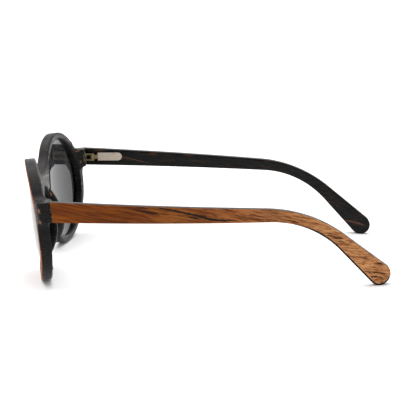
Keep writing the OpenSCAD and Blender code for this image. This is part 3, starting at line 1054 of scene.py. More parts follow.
@dataclass(frozen=True)
class Rosewood:
    """Rosewood veneer, sliced, sanded and oiled.

    The knife leaves long dark pores along the grain, and oil deepens the bands between them and gives
    a low sheen.

    Attributes:
        name: the material's name.
        turn: Euler turn, in degrees, that brings the grain's direction to Y.
        tones: body colours from the front of the sunglasses to the temple tips, as (place in mm, hex)
            pairs.
        pore: colour of the pores.
        vein: colour of the marks, and of the painted shade past stop_x.
        band_mm: width of a growth band across the grain.
        fibre_mm: width of a bundle of fibres across the grain.
        pore_mm: width of a pore line, drawn twice as coarse as real so that it shows.
        wave_mm: how far the grain waves up or down at most.
        waves_per_mm: how often it does so along the wood.
        bump_mm: depth of the lines between the fibres.
        rough: roughness of the open and of the dense fibres.
        gloss: specular level of the oil.
        marks: dark marks at given places.
        stop_x: distance from the middle past which the face is painted dark, as painted shade
        where the end pieces' corners are rounded off.
    """

    name: str
    turn: tuple[float, float, float]
    tones: tuple[tuple[float, str], ...]
    pore: str = "#3c1c08"
    vein: str = "#22150d"
    band_mm: float = 2.4
    fibre_mm: float = 0.6
    pore_mm: float = 0.34
    wave_mm: float = 2.0
    waves_per_mm: float = 0.035
    bump_mm: float = 0.04
    rough: tuple[float, float] = (0.62, 0.48)
    gloss: float = 0.12
    marks: tuple[Mark, ...] = ()
    stop_x: float | None = None

    # What the bands and fibres let through of the body colour, from dark to pale
    BANDS = ((0.32, "#cfc3b8"), (0.52, "#f2ece6"), (0.70, "#ffffff"))
    FIBRES = ((0.36, "#a98d75"), (0.56, "#ffffff"))
    # How much the pale fibres break a mark up, and how dark its line is then inked
    BREAK, INK = -0.5, 2.2

    def material(self) -> bpy.types.Material:
        """Builds the material.

        Returns:
            The material.
        """
        material, tree, shader = blank_material(self.name)
        spot, place = grain_place(tree, self.turn)
        wavy = self._wavy(tree, place)
        fibre = grain(tree, wavy, self.fibre_mm, along=30, shift=(3.1, 7.7, 1.3), detail=3.0)
        across, back, _ = add(tree, "ShaderNodeSeparateXYZ", None, {0: spot}).outputs
        coloured = self._body(tree, wavy, back, fibre)
        if self.marks:
            coloured = self._veined(tree, spot, fibre, coloured)
        if self.stop_x is not None:
            # Past stop_x the face is painted dark: painted shade for the dark band at the end pieces' rounded
            # corners
            out = add(tree, "ShaderNodeMath", {"operation": "ABSOLUTE"}, {0: across}).outputs[0]
            painted_shade = add(tree, "ShaderNodeMath", {"operation": "GREATER_THAN"}, {
                0: out, 1: self.stop_x * MM}).outputs[0]
            coloured = add(tree, "ShaderNodeMix", {"data_type": "RGBA"}, {
                0: painted_shade, MIX_A: coloured, MIX_B: linear(self.vein)}).outputs[MIXED]
        shine = add(tree, "ShaderNodeMapRange", None, {
            "Value": fibre, "From Min": 0.3, "From Max": 0.7,
            "To Min": self.rough[0], "To Max": self.rough[1]}).outputs[0]
        bump = add(tree, "ShaderNodeBump", None, {
            "Strength": 0.3, "Distance": self.bump_mm * MM, "Height": fibre}).outputs[0]
        plug(tree, shader, {
            "Base Color": coloured, "Roughness": shine, "Normal": bump, "Specular IOR Level": self.gloss})
        return material

    def _wavy(self, tree: Any, place: Any) -> Any:
        """Adds the slow wave of the grain.

        Args:
            tree: the material's node tree.
            place: the socket of the place in the grain.

        Returns:
            The socket of the place, moved up and down.
        """
        drift = add(tree, "ShaderNodeTexNoise", None, {
            "Vector": place, "Scale": self.waves_per_mm, "Detail": 1.0}).outputs[0]
        lift = add(tree, "ShaderNodeMapRange", None, {
            "Value": drift, "To Min": -self.wave_mm, "To Max": self.wave_mm}).outputs[0]
        wave = add(tree, "ShaderNodeCombineXYZ", None, {2: lift}).outputs[0]
        return add(tree, "ShaderNodeVectorMath", {"operation": "ADD"}, {0: place, 1: wave}).outputs[0]

    def _body(self, tree: Any, place: Any, back: Any, fibre: Any) -> Any:
        """Adds the colour of the wood: its tones, darkened by bands, fibres and pores.

        Args:
            tree: the material's node tree.
            place: the socket of the place in the wavy grain.
            back: the socket of the distance back, in metres.
            fibre: the socket of the fibres' noise.

        Returns:
            The colour's socket.
        """
        band = grain(tree, place, self.band_mm, along=20, shift=(0, 0, 0), detail=2.0)
        pore = grain(tree, place, self.pore_mm, along=26, shift=(9.4, 2.2, 5.5), detail=1.0)
        first, last = self.tones[0][0], self.tones[-1][0]
        share = add(tree, "ShaderNodeMapRange", None, {
            "Value": back, "From Min": first * MM, "From Max": last * MM}).outputs[0]
        colour = add(tree, "ShaderNodeValToRGB", {
            "stops": [((y - first) / (last - first), tone) for y, tone in self.tones]}, {0: share}).outputs[0]
        for noise, stops in ((band, self.BANDS), (fibre, self.FIBRES)):
            tint = add(tree, "ShaderNodeValToRGB", {"stops": stops}, {0: noise}).outputs[0]
            colour = add(tree, "ShaderNodeMix", {"data_type": "RGBA", "blend_type": "MULTIPLY"}, {
                0: 1.0, MIX_A: colour, MIX_B: tint}).outputs[MIXED]
        open_pore = add(tree, "ShaderNodeMapRange", None, {
            "Value": pore, "From Min": 0.60, "From Max": 0.70, "To Max": 0.8}).outputs[0]
        return add(tree, "ShaderNodeMix", {"data_type": "RGBA"}, {
            0: open_pore, MIX_A: colour, MIX_B: linear(self.pore)}).outputs[MIXED]

    def _veined(self, tree: Any, spot: Any, fibre: Any, colour: Any) -> Any:
        """Adds the dark marks over the wood's colour, broken up by the fibres.

        Args:
            tree: the material's node tree.
            spot: the socket of the place on the piece, in metres.
            fibre: the socket of the fibres' noise.
            colour: the socket of the wood's colour.

        Returns:
            The colour's socket.
        """
        mark = marked(tree, ragged(tree, spot, scale=600.0, reach=(0.0, 1.0, 0.35)), self.marks)
        broken = add(tree, "ShaderNodeMath", {"operation": "MULTIPLY_ADD"}, {
            0: fibre, 1: self.BREAK, 2: mark}).outputs[0]
        amount = add(tree, "ShaderNodeMapRange", None, {
            "Value": broken, "From Min": -0.12, "From Max": 0.25, "To Max": 0.9}).outputs[0]
        inked = add(tree, "ShaderNodeMath", {"operation": "MULTIPLY"}, {0: amount, 1: mark}).outputs[0]
        strong = add(tree, "ShaderNodeMath", {"operation": "MULTIPLY", "use_clamp": True}, {
            0: inked, 1: self.INK}).outputs[0]
        return add(tree, "ShaderNodeMix", {"data_type": "RGBA"}, {
            0: strong, MIX_A: colour, MIX_B: linear(self.vein)}).outputs[MIXED]


@dataclass(frozen=True)
class Ebony:
    """Striped ebony, sanded and waxed.

    The heartwood is near black with a grey sheen where it turns up to the light, and a few brown
    streaks and small pink-brown flecks of sapwood run in it.

    Attributes:
        name: the material's name.
        turn: Euler turn, in degrees, that brings the grain's direction to Y.
        black: the body colour.
        grey: colour of the paler fibres.
        brown: colour of the streaks.
        sap: colour of the flecks.
        fibre_mm: width of a fibre across the grain, drawn coarser than real so that it shows.
        streak_mm: width of a streak across the grain.
        streaked: how much of the wood is streaked, from 0 to 1.
        bump_mm: depth of the lines between the fibres.
        rough: roughness of its dark and of its pale fibres.
        gloss: specular level of the wax.
        sheen: weight and roughness of the grey sheen.
        marks: flecks at given places.
    """

    name: str
    turn: tuple[float, float, float]
    black: str = "#070707"
    grey: str = "#1f1e1d"
    brown: str = "#4c3020"
    sap: str = "#8a624a"
    fibre_mm: float = 0.5
    streak_mm: float = 1.6
    streaked: float = 0.3
    bump_mm: float = 0.03
    rough: tuple[float, float] = (0.24, 0.46)
    gloss: float = 0.1
    sheen: tuple[float, float] = (0.06, 0.4)
    marks: tuple[Mark, ...] = ()

    def material(self) -> bpy.types.Material:
        """Builds the material.

        Returns:
            The material.
        """
        material, tree, shader = blank_material(self.name)
        spot, place = grain_place(tree, self.turn)
        fibre = grain(tree, place, self.fibre_mm, along=14, shift=(0, 0, 0), detail=3.0)
        streak = grain(tree, place, self.streak_mm, along=9, shift=(0.4, 2.6, 5.2), detail=3.0)
        body = add(tree, "ShaderNodeValToRGB", {
            "stops": [(0.42, self.black), (0.66, self.grey)]}, {0: fibre}).outputs[0]
        # The streaks' noise is over this level where a streak runs
        edge = 0.80 - 0.35 * self.streaked
        amount = add(tree, "ShaderNodeMapRange", None, {
            "Value": streak, "From Min": edge - 0.08, "From Max": edge + 0.06, "To Max": 0.8}).outputs[0]
        coloured = add(tree, "ShaderNodeMix", {"data_type": "RGBA"}, {
            0: amount, MIX_A: body, MIX_B: linear(self.brown)}).outputs[MIXED]
        if self.marks:
            mark = marked(tree, ragged(tree, spot, scale=900.0, reach=(0.4, 0.4, 0.4)), self.marks)
            fleck = add(tree, "ShaderNodeMapRange", None, {
                "Value": mark, "From Min": 0.05, "From Max": 0.7, "To Max": 0.95}).outputs[0]
            coloured = add(tree, "ShaderNodeMix", {"data_type": "RGBA"}, {
                0: fleck, MIX_A: coloured, MIX_B: linear(self.sap)}).outputs[MIXED]
        shine = add(tree, "ShaderNodeMapRange", None, {
            "Value": fibre, "From Min": 0.4, "From Max": 0.65,
            "To Min": self.rough[0], "To Max": self.rough[1]}).outputs[0]
        bump = add(tree, "ShaderNodeBump", None, {
            "Strength": 0.3, "Distance": self.bump_mm * MM, "Height": fibre}).outputs[0]
        plug(tree, shader, {
            "Base Color": coloured, "Roughness": shine, "Normal": bump, "Specular IOR Level": self.gloss,
            "Sheen Weight": self.sheen[0], "Sheen Roughness": self.sheen[1]})
        return material


@dataclass(frozen=True)
class SmokeLens:
    """Grey tinted lens resin, cast, polished and coated against glare.

    It is dark to look through, and like a mirror at a slant.

    Attributes:
        name: the material's name.
        low: tint at the foot of a lens.
        high: tint at its top.
        heights: heights of the foot and the top, in millimetres.
        rough: roughness of the polish.
        ior: refractive index that gives the coated resin's shine.
    """

    name: str = "grey_lens_resin"
    low: str = "#2e2f32"
    high: str = "#262729"
    heights: tuple[float, float] = (2.0, 48.0)
    rough: float = 0.015
    ior: float = 1.31

    def material(self) -> bpy.types.Material:
        """Builds the material.

        Returns:
            The material.
        """
        material, tree, shader = blank_material(self.name)
        spot = add(tree, "ShaderNodeTexCoord").outputs["Object"]
        height = add(tree, "ShaderNodeSeparateXYZ", None, {0: spot}).outputs[2]
        foot, top = self.heights
        share = add(tree, "ShaderNodeMapRange", None, {
            "Value": height, "From Min": foot * MM, "From Max": top * MM}).outputs[0]
        tone = add(tree, "ShaderNodeValToRGB", {
            "stops": [(0.0, self.low), (1.0, self.high)]}, {0: share}).outputs[0]
        plug(tree, shader, {
            "Base Color": tone, "Roughness": self.rough, "IOR": self.ior, "Transmission Weight": 1.0})
        return material


@dataclass(frozen=True)
class HingeMetal:
    """Hinge metal, plated or bare: fine tool lines scatter its shine.

    Attributes:
        name: the material's name.
        pale: the metal's colour.
        worn: the colour between its tool lines.
        rough: its roughness.
        line_mm: spacing of the tool lines, drawn coarser than real so that they show.
    """

    name: str
    pale: str
    worn: str
    rough: float = 0.42
    line_mm: float = 0.15

    def material(self) -> bpy.types.Material:
        """Builds the material.

        Returns:
            The material.
        """
        material, tree, shader = blank_material(self.name)
        _, place = grain_place(tree, (0, 0, 0))
        lines = grain(tree, place, self.line_mm, along=40, shift=(0, 0, 0), detail=2.0)
        tone = add(tree, "ShaderNodeValToRGB", {
            "stops": [(0.3, self.worn), (0.7, self.pale)]}, {0: lines}).outputs[0]
        shine = add(tree, "ShaderNodeMapRange", None, {
            "Value": lines, "From Min": 0.3, "From Max": 0.7,
            "To Min": self.rough + 0.08, "To Max": self.rough - 0.06}).outputs[0]
        plug(tree, shader, {"Base Color": tone, "Roughness": shine, "Metallic": 1.0})
        return material


def right_through(*rows: tuple[float, float, float, float, float, float]) -> tuple[Mark, ...]:
    """Makes marks that go right through a veneer.

    Args:
        rows: for each mark, the back and up of its two ends, its width and its depth.

    Returns:
        The marks.
    """
    return tuple(Mark((None, *row[:2]), (None, *row[2:4]), *row[4:]) for row in rows)


# Places of the marks are in millimetres in the frame of the sunglasses: across, back and up
LEFT_VEINS = right_through(
    (-34.2, 37.9, -26.7, 36.1, 0.6, 0.6),
    (-26.7, 36.1, -22.4, 35.3, 0.9, 0.8),
    (-22.9, 35.4, -17.5, 34.3, 1.2, 1.0),
    (-26.5, 37.1, -21.8, 36.8, 0.9, 0.8),
    (-18.0, 36.8, -12.2, 35.7, 1.0, 0.9),
    (-12.4, 35.8, -6.1, 34.2, 1.4, 1.0),
    (-6.2, 34.2, -1.3, 32.9, 1.4, 1.0),
    (-1.4, 32.9, 3.6, 31.4, 1.4, 1.0),
    (-6.2, 33.1, -1.4, 31.9, 0.9, 0.8),
    (1.9, 31.8, 7.6, 30.8, 1.5, 0.9),
    (6.5, 31.1, 13.0, 30.8, 1.3, 0.85),
    (8.2, 34.9, 18.5, 30.9, 0.6, 0.5),
    (13.2, 33.2, 19.8, 31.0, 0.6, 0.5),
    (49.9, 22.8, 53.1, 21.9, 0.8, 0.9),
    (51.9, 21.6, 57.1, 21.0, 0.8, 0.85),
    (54.4, 20.0, 57.3, 19.5, 0.8, 0.8),
    (47.1, 24.5, 53.7, 22.8, 0.6, 0.5),
    (63.9, 12.6, 68.7, 11.4, 0.6, 0.5),
    (70.4, 9.9, 73.8, 8.9, 1.2, 0.75),
    (65.8, 6.6, 70.4, 5.7, 0.7, 0.8),
    (70.4, 5.7, 75.1, 4.6, 0.8, 0.85),
    (68.3, 4.4, 71.6, 3.6, 0.7, 0.8),
    (71.6, 3.6, 74.9, 2.8, 0.7, 0.8),
    (68.4, 3.9, 69.3, 3.6, 0.9, 0.7),
)
RIGHT_VEINS = right_through(
    (-44.0, 37.2, -33.0, 35.4, 0.7, 0.7),
    (-30.5, 34.0, -18.0, 31.8, 0.9, 0.9),
    (-9.0, 36.0, 2.5, 33.4, 0.7, 0.6),
    (9.0, 33.0, 22.0, 30.2, 1.0, 0.85),
    (30.0, 32.0, 38.5, 29.0, 0.6, 0.5),
    (52.0, 20.4, 60.0, 18.0, 0.8, 0.7),
    (66.0, 8.2, 74.0, 6.2, 0.6, 0.6),
)
FRONT_FLECKS = (
    Mark((-49.0, -67.6, 46.3), (-51.2, -67.0, 45.0), 1.1),
    Mark((-57.3, -64.7, 39.1), (-59.5, -63.2, 39.1), 1.1, 0.7),
    Mark((-59.8, -62.4, 34.0), (-59.5, -62.7, 33.0), 1.0, 0.6),
    Mark((-60.0, -62.3, 23.7), (-59.9, -62.4, 22.4), 1.1),
    Mark((4.6, -72.2, 38.0), (-12.1, -71.7, 36.0), 1.0),
    Mark((12.3, -71.9, 37.3), (9.5, -71.9, 36.7), 1.2),
    Mark((-15.5, -72.2, 43.6), (-17.2, -72.2, 43.0), 1.2, 0.7),
    Mark((-8.7, -71.5, 32.0), (-8.7, -71.4, 31.0), 1.1),
    Mark((-7.6, -70.3, 27.5), (-7.6, -70.7, 28.5), 1.2),
    Mark((68.0, -65.5, 36.4), (68.1, -65.2, 35.7), 1.5),
    Mark((68.0, -65.1, 31.8), (68.1, -64.9, 31.0), 1.4),
    Mark((24.0, -70.5, 48.2), (25.4, -70.4, 48.3), 0.9),
    Mark((57.6, -66.0, 12.0), (57.2, -66.3, 11.0), 0.9, 0.7),
)
TEMPLE_STREAKS = (
    Mark((-64.5, -41.8, 34.8), (-64.0, -29.6, 32.0), 0.7, 0.8),
    Mark((-64.6, -57.0, 38.3), (-64.6, -50.0, 38.2), 0.6, 0.6),
    Mark((-48.0, 65.2, 6.4), (-46.2, 71.3, 5.3), 1.5, 0.8),
    Mark((-46.2, 71.3, 5.3), (-45.4, 74.0, 4.5), 1.3, 0.8),
    Mark((64.3, -30.0, 35.5), (63.9, -18.0, 34.6), 0.7, 0.7),
    Mark((52.0, 48.0, 22.0), (50.5, 57.0, 18.0), 1.0, 0.7),
)

@dataclass(frozen=True)
class Finishes:
    """The materials that the pieces wear, the veneers by side."""

    face: bpy.types.Material
    veneer: dict[Side, bpy.types.Material]
    front_core: bpy.types.Material
    temple_core: bpy.types.Material
    lens: bpy.types.Material
    champagne: bpy.types.Material
    gilt: bpy.types.Material
    steel: bpy.types.Material

    TONES = (
        (-60.0, "#86470c"), (-33.0, "#85470e"), (-9.0, "#8d5321"),
        (14.0, "#a26535"), (26.0, "#b0794c"), (65.0, "#d49b68"),
    )
    FACE_TONES = ((-90.0, "#b5682a"), (-50.0, "#b5682a"))

    @classmethod
    def mixed(cls) -> Finishes:
        """Builds every material.

        Returns:
            The set of materials.
        """
        # The face is painted dark past 61.3 mm from the middle, as painted shade at the end pieces' corners
        face = Rosewood("oiled_rosewood_face", (0, 0, 90), cls.FACE_TONES, stop_x=61.3)
        left = Rosewood("oiled_rosewood_left", (12, 0, 0), cls.TONES, marks=LEFT_VEINS)
        right = Rosewood("oiled_rosewood_right", (11, 0, 0), cls.TONES, marks=RIGHT_VEINS)
        front_core = Ebony("waxed_ebony_front", (0, 0, 90), marks=FRONT_FLECKS)
        # The temples are waxed to a higher shine than the front, and their sapwood is darker
        temple_core = Ebony(
            "waxed_ebony_temples", (7, 0, 0), sap="#5c3d2b", streaked=0.4, rough=(0.14, 0.3),
            marks=TEMPLE_STREAKS,
        )
        # Tumbled before plating: pale and nearly matt
        champagne = HingeMetal("champagne_plated_brass", "#e7dacc", "#cfc1b1", rough=0.58)
        # Brushed before plating: a dull gold with a soft shine
        gilt = HingeMetal("gilt_plated_brass", "#8f8160", "#655a40")
        # Left bright from the lathe: a cool grey that shines along its lines
        steel = HingeMetal("turned_steel", "#b4b4b6", "#96969a", rough=0.32)
        return cls(
            face=face.material(),
            veneer={Side.LEFT: left.material(), Side.RIGHT: right.material()},
            front_core=front_core.material(),
            temple_core=temple_core.material(),
            lens=SmokeLens().material(),
            champagne=champagne.material(),
            gilt=gilt.material(),
            steel=steel.material(),
        )


@dataclass
class Front:
    """The bent front: ebony core, rosewood face, lenses and nose pads.

    Attributes:
        sizes: the shared sizes.
        edge_round: round on the rims' rear edges.
        endpiece_round: round on the end pieces' rear edges.
        tight_from: distances in from an end piece's end where its own round starts and is full.
        endpiece_tip_r: round on the end pieces' outer corners, seen from the front.
        sweep_r: radius of the sweep from the rim's back out to an end piece's rear face.
        fillet_r: radius of the fillets behind the rim, above and below an end piece.
        lug_soft: how softly the sweep and the fillets run together.
        lug_room: how far beyond the fillets the points of the mesh still lie close.
        leaf_out: how far the hinge leaf's edge stands out of an end piece's rear face.
        leaf_t: thickness of the hinge leaf's plate.
        seat_slack: room between a leaf and the seat cut for it.
        seat_past: how far behind the leaf the seat's cut runs on.
        face_edge: how much of the face's thickness shows along its edges.
        face_round: round on the face's edges.
        wall_depths: depths of the rings round the core's walls.
        core_pitch: distance between the points of the core's mesh.
        face_pitch: distance between the points of the face's mesh.
        lens_r: radius of a lens's front.
        lens_t: thickness of a lens.
        lens_bulge: how far a lens stands out in front of the rim.
        lens_toe: how many degrees less than the rim a lens is turned outwards.
        lens_grip: depth of a lens in its groove.
        pad_start: place on the rim where a nose pad starts.
        pad_end: place on the rim where a nose pad ends.
        pad_depth: how far a pad stands out.
        pad_root: how far a pad is let into the rim.
        pad_t: thickness of a pad.
        pad_splay: splay of a pad away from the nose.
    """

    sizes: FrameSizes
    edge_round: float = 0.85
    endpiece_round: float = 0.3
    tight_from: tuple[float, float] = (12.0, 8.0)
    endpiece_tip_r: float = 0.45
    sweep_r: float = 8.0
    fillet_r: float = 3.7
    lug_soft: float = 0.5
    lug_room: float = 0.5
    leaf_out: float = 0.5
    leaf_t: float = 0.8
    seat_slack: float = 0.03
    seat_past: float = 4.0
    face_edge: float = 0.22
    face_round: float = 0.12
    wall_depths: tuple[float, ...] = (0.35, 0.5, 0.65, 0.85, 1.05, 1.3, 1.55, 1.8)
    core_pitch: float = 0.8
    face_pitch: float = 1.0
    lens_r: float = 118.0
    lens_t: float = 1.4
    lens_bulge: float = 0.6
    lens_toe: float = 0.7
    lens_grip: float = 0.75
    pad_start: float = 170.0
    pad_end: float = 230.0
    pad_depth: float = 4.4
    pad_root: float = 0.9
    pad_t: float = 3.2
    pad_splay: float = 13.0

    # Place along a pad, and the share of its depth there
    PAD_PROFILE = (
        (-0.06, -0.12), (0, 0.1), (0.25, 0.75), (0.48, 1), (0.7, 0.87), (0.85, 0.6), (1, 0.15), (1.05, -0.12),
    )
    # Steps round the rim, an opening and a lens, in degrees, and along an end piece's small corners
    RIM_STEP, EYE_STEP, LENS_STEP, TIP_PITCH = 1.5, 2.0, 3.0, 0.15
    # Rings of a lens, and the share of its size that the innermost has
    LENS_RINGS, LENS_HUB = 20, 0.04
    # Sections of a pad, points over each one's crown, and the crease between its sides, in degrees
    PAD_RINGS, PAD_STEPS, PAD_CREASE = 42, 11, 60.0
    # Points along the round that the end pieces are trimmed to
    TRIM_STEPS = 200

    def outline(self) -> Outline:
        """Draws the front's outer outline.

        Returns:
            The outline, across and up.
        """
        sizes = self.sizes
        angles = (
            sizes.bridge_top_join, sizes.bridge_low_join, sizes.endpiece_top_join, sizes.endpiece_low_join)
        top, arch = [self._bridge_centre(a) for a in angles[:2]]
        upper, lower = self._fillet(angles[2], 1), self._fillet(angles[3], -1)
        to_top, to_arch, to_upper, to_lower = [
            sizes.rim_point(a, sizes.rim_w) - centre for a, centre in zip(angles, (top, arch, upper, lower))
        ]
        high = upper[1] - np.linalg.norm(to_upper)
        low = lower[1] + np.linalg.norm(to_lower)
        tip, end = self.endpiece_tip_r, sizes.half_w
        half = np.concatenate([
            arc(top, np.linalg.norm(to_top), -90, bearing(to_top)),
            self._rim_run(sizes.bridge_top_join, sizes.endpiece_top_join),
            arc(upper, np.linalg.norm(to_upper), bearing(to_upper), -90),
            run((upper[0], high), (end - tip, high)),
            arc(np.array([end - tip, high - tip]), tip, 90, 0, self.TIP_PITCH),
            run((end, high - tip), (end, low + tip)),
            arc(np.array([end - tip, low + tip]), tip, 0, -90, self.TIP_PITCH),
            run((end - tip, low), (lower[0], low)),
            arc(lower, np.linalg.norm(to_lower), 90, bearing(to_lower)),
            self._rim_run(sizes.endpiece_low_join, sizes.bridge_low_join - 360),
            arc(arch, np.linalg.norm(to_arch), bearing(to_arch), 90),
        ])
        return Outline.traced(np.concatenate([half, half[-2:0:-1] * [-1, 1]]))

    def _rim_run(self, start: float, end: float) -> np.ndarray:
        """Points on the rim's outer edge.

        Args:
            start: place round the lens that they start after.
            end: place that they end before.

        Returns:
            The points.
        """
        steps = math.ceil(abs(end - start) / self.RIM_STEP)
        angles = np.linspace(start, end, steps + 1)[1:-1]
        return np.array([self.sizes.rim_point(a, self.sizes.rim_w) for a in angles])

    def _bridge_centre(self, angle: float) -> np.ndarray:
        """Centre, on the middle plane, of the circle that touches both rims."""
        point, normal = self.sizes.rim_point(angle, self.sizes.rim_w), self.sizes.rim_normal(angle)
        return np.array([0, point[1] - point[0] / normal[0] * normal[1]])

    def _fillet(self, angle: float, side: int) -> np.ndarray:
        """Finds the fillet between the rim and an end piece.

        Args:
            angle: where it leaves the rim.
            side: 1 for the end piece's top, -1 for its bottom.

        Returns:
            The fillet's centre.
        """
        sizes = self.sizes
        point, normal = sizes.rim_point(angle, sizes.rim_w), sizes.rim_normal(angle)
        edge = sizes.endpiece_rise + side * sizes.endpiece_h / 2
        return point + side * (point[1] - edge) / (1 - side * normal[1]) * normal

    def eye(self, side: Side) -> Outline:
        """One lens opening's outline."""
        spots = np.array([self.sizes.rim_point(a, 0) for a in np.arange(0, 360, self.EYE_STEP)])
        return Outline.traced(spots * [side.value, 1], wood_inside=False)

    def back_depth(self, spots: np.ndarray) -> np.ndarray:
        """Depth of the back: the rims, and the end pieces that sweep out behind them.

        Args:
            spots: points across the front.

        Returns:
            The depth at each point.
        """
        sizes = self.sizes
        across, height = np.abs(spots[:, 0]), spots[:, 1]
        butt_x = self.butt_x
        centre = self._sweep_centre()
        off = np.clip(across - centre[0], 0, butt_x - centre[0])
        plan = np.where(across < butt_x, centre[1] - np.sqrt(self.sweep_r**2 - off**2), sizes.butt_y)
        past = np.abs(height - sizes.endpiece_rise) - sizes.endpiece_h / 2
        drop = np.clip(self.fillet_r - past, 0, self.fillet_r)
        side = np.where(past > 0, sizes.butt_y - np.sqrt(self.fillet_r**2 - drop**2), sizes.butt_y)
        share = np.clip(0.5 + (side - plan) / (2 * self.lug_soft), 0, 1)
        reach = side + (plan - side) * share - self.lug_soft * share * (1 - share)
        lug = sizes.front_r - np.sqrt((sizes.front_r - reach) ** 2 + across**2)
        return np.where(across > centre[0], np.maximum(lug, sizes.front_t), sizes.front_t)

    @property
    def butt_x(self) -> float:
        """Inner edge of an end piece's rear face."""
        return self.sizes.pin.x - self.sizes.leaf_reach + self.leaf_out

    def _sweep_centre(self) -> np.ndarray:
        """Finds the sweep that touches the rim's back and ends at an end piece's rear face.

        Returns:
            The sweep's centre, seen from above.
        """
        sizes = self.sizes
        drum = sizes.front_r - sizes.front_t - self.sweep_r
        line = np.array([self.butt_x, sizes.butt_y - sizes.front_r])
        length = np.linalg.norm(line)
        along = (drum**2 - self.sweep_r**2 + length**2) / (2 * length)
        off = math.sqrt(drum**2 - along**2)
        way = line / length
        return np.array([0, sizes.front_r]) + along * way + off * np.array([way[1], -way[0]])

    def round_at(self, spots: np.ndarray) -> np.ndarray:
        """Round on the rear edges, tighter on the end pieces.

        Args:
            spots: points across the front.

        Returns:
            The radius at each point.
        """
        start, full = [self.sizes.half_w - distance for distance in self.tight_from]
        share = smoothstep(start, full, np.abs(spots[:, 0]))
        return self.edge_round + share * (self.endpiece_round - self.edge_round)

    def trim(self, spots: np.ndarray, depth: np.ndarray) -> np.ndarray:
        """Draws points in to the round on the end pieces' front corners.

        Args:
            spots: points across the front.
            depth: the depth of each.

        Returns:
            The points, none outside the round.
        """
        sizes = self.sizes
        corner = sizes.corner
        across = np.linspace(corner[0], sizes.half_w, self.TRIM_STEPS)
        fall = corner[1] - np.sqrt(np.maximum(sizes.corner_r**2 - (across - corner[0]) ** 2, 0))
        reached = sizes.front_r - np.sqrt((sizes.front_r - fall) ** 2 + across**2)
        first = int(np.argmin(reached))
        limit = np.interp(depth, reached[first:], across[first:])
        return np.stack([np.clip(spots[:, 0], -limit, limit), spots[:, 1]], 1)

    def build(self, bench: BendTool, finishes: Finishes) -> None:
        """Builds the front and puts it in place of its nodes.

        Args:
            bench: the bending tool.
            finishes: the materials.
        """
        sizes = self.sizes
        eyes = [self.eye(side) for side in Side]
        seat = dict(
            drum_radius=sizes.front_r * MM,
            drum_centre=0.0,
            turn=(math.radians(sizes.tilt), 0.0, 0.0),
            offset=(0.0, -sizes.mid_y * MM, sizes.lens_z * MM),
        )
        outlines = [self.outline(), *eyes]
        core = WoodLayer(
            outlines, self.face_edge, self.back_depth, 0.0, self.round_at,
            depths=self.wall_depths, trim=self.trim, pitch=self.core_pitch, fine=self._lug_boxes(),
        )
        wood = bench.make(
            "front_core_wood", core.shell().mesh("front_core"), material=finishes.front_core, **seat)
        stand_for(carved(wood, self._leaf_seats()), "front", "front_core")
        veneer = WoodLayer(
            [outline.shrunk(sizes.veneer_ease) for outline in outlines], 0.0, even(self.face_edge),
            self.face_round, even(0.0), trim=self.trim, pitch=self.face_pitch,
        )
        face = bench.make(
            "front_face_wood", veneer.shell().mesh("front_face"), material=finishes.face, **seat)
        stand_for(face, "front", "front_veneer")
        lens = dressed(self._lens("left_lens_resin"), finishes.lens)
        pad = dressed(self._pad("left_nose_pad_wood"), finishes.front_core)
        for piece, kind, slot in ((lens, "lens", "smoke_lens"), (pad, "nose_pad", "ebony")):
            twin = mirrored(piece, piece.name.replace("left", "right"))
            stand_for(piece, "front", f"left_{kind}")
            stand_for(twin, "front", f"right_{kind}")

    def _lug_boxes(self) -> list[tuple[np.ndarray, np.ndarray]]:
        """Finds the two places across the back that need close points.

        Returns:
            The low and high corner of each.
        """
        sizes, room = self.sizes, self.fillet_r + self.lug_room
        low = np.array([self._sweep_centre()[0], sizes.endpiece_rise - sizes.endpiece_h / 2 - room])
        high = np.array([sizes.half_w, sizes.endpiece_rise + sizes.endpiece_h / 2 + room])
        return [(low, high), (np.array([-high[0], low[1]]), np.array([-low[0], high[1]]))]

    def _leaf_seats(self) -> list[tuple[Vector, Vector]]:
        """Finds the boxes to cut for the two hinge leaves.

        Returns:
            The lowest and highest corner of each, in metres.
        """
        sizes, slack = self.sizes, self.seat_slack
        half = sizes.leaf_h / 2 + slack
        low = Vector((-sizes.leaf_reach - slack, -sizes.pin_back - self.leaf_t - slack, -half))
        high = Vector((sizes.ear_d / 2 + slack, -sizes.pin_back + self.seat_past, half))
        boxes = []
        for side in Side:
            pin = Vector((sizes.pin.x * side.value, sizes.pin.y, sizes.pin.z))
            ends = [pin + Vector((c.x * side.value, c.y, c.z)) for c in (low, high)]
            boxes.append(tuple(Vector(map(f, *ends)) * MM for f in (min, max)))
        return boxes

    def _seated(self, shell: Shell, name: str) -> bpy.types.Object:
        """Leans a shell made in the front's own frame and stands it on the bench.

        Args:
            shell: the shell.
            name: the piece's name.

        Returns:
            The piece.
        """
        mesh = shell.mesh(name)
        lean = Matrix.Rotation(math.radians(self.sizes.tilt), 4, "X")
        mesh.transform(Matrix.Translation((0, -self.sizes.mid_y * MM, self.sizes.lens_z * MM)) @ lean)
        return placed(name, mesh)

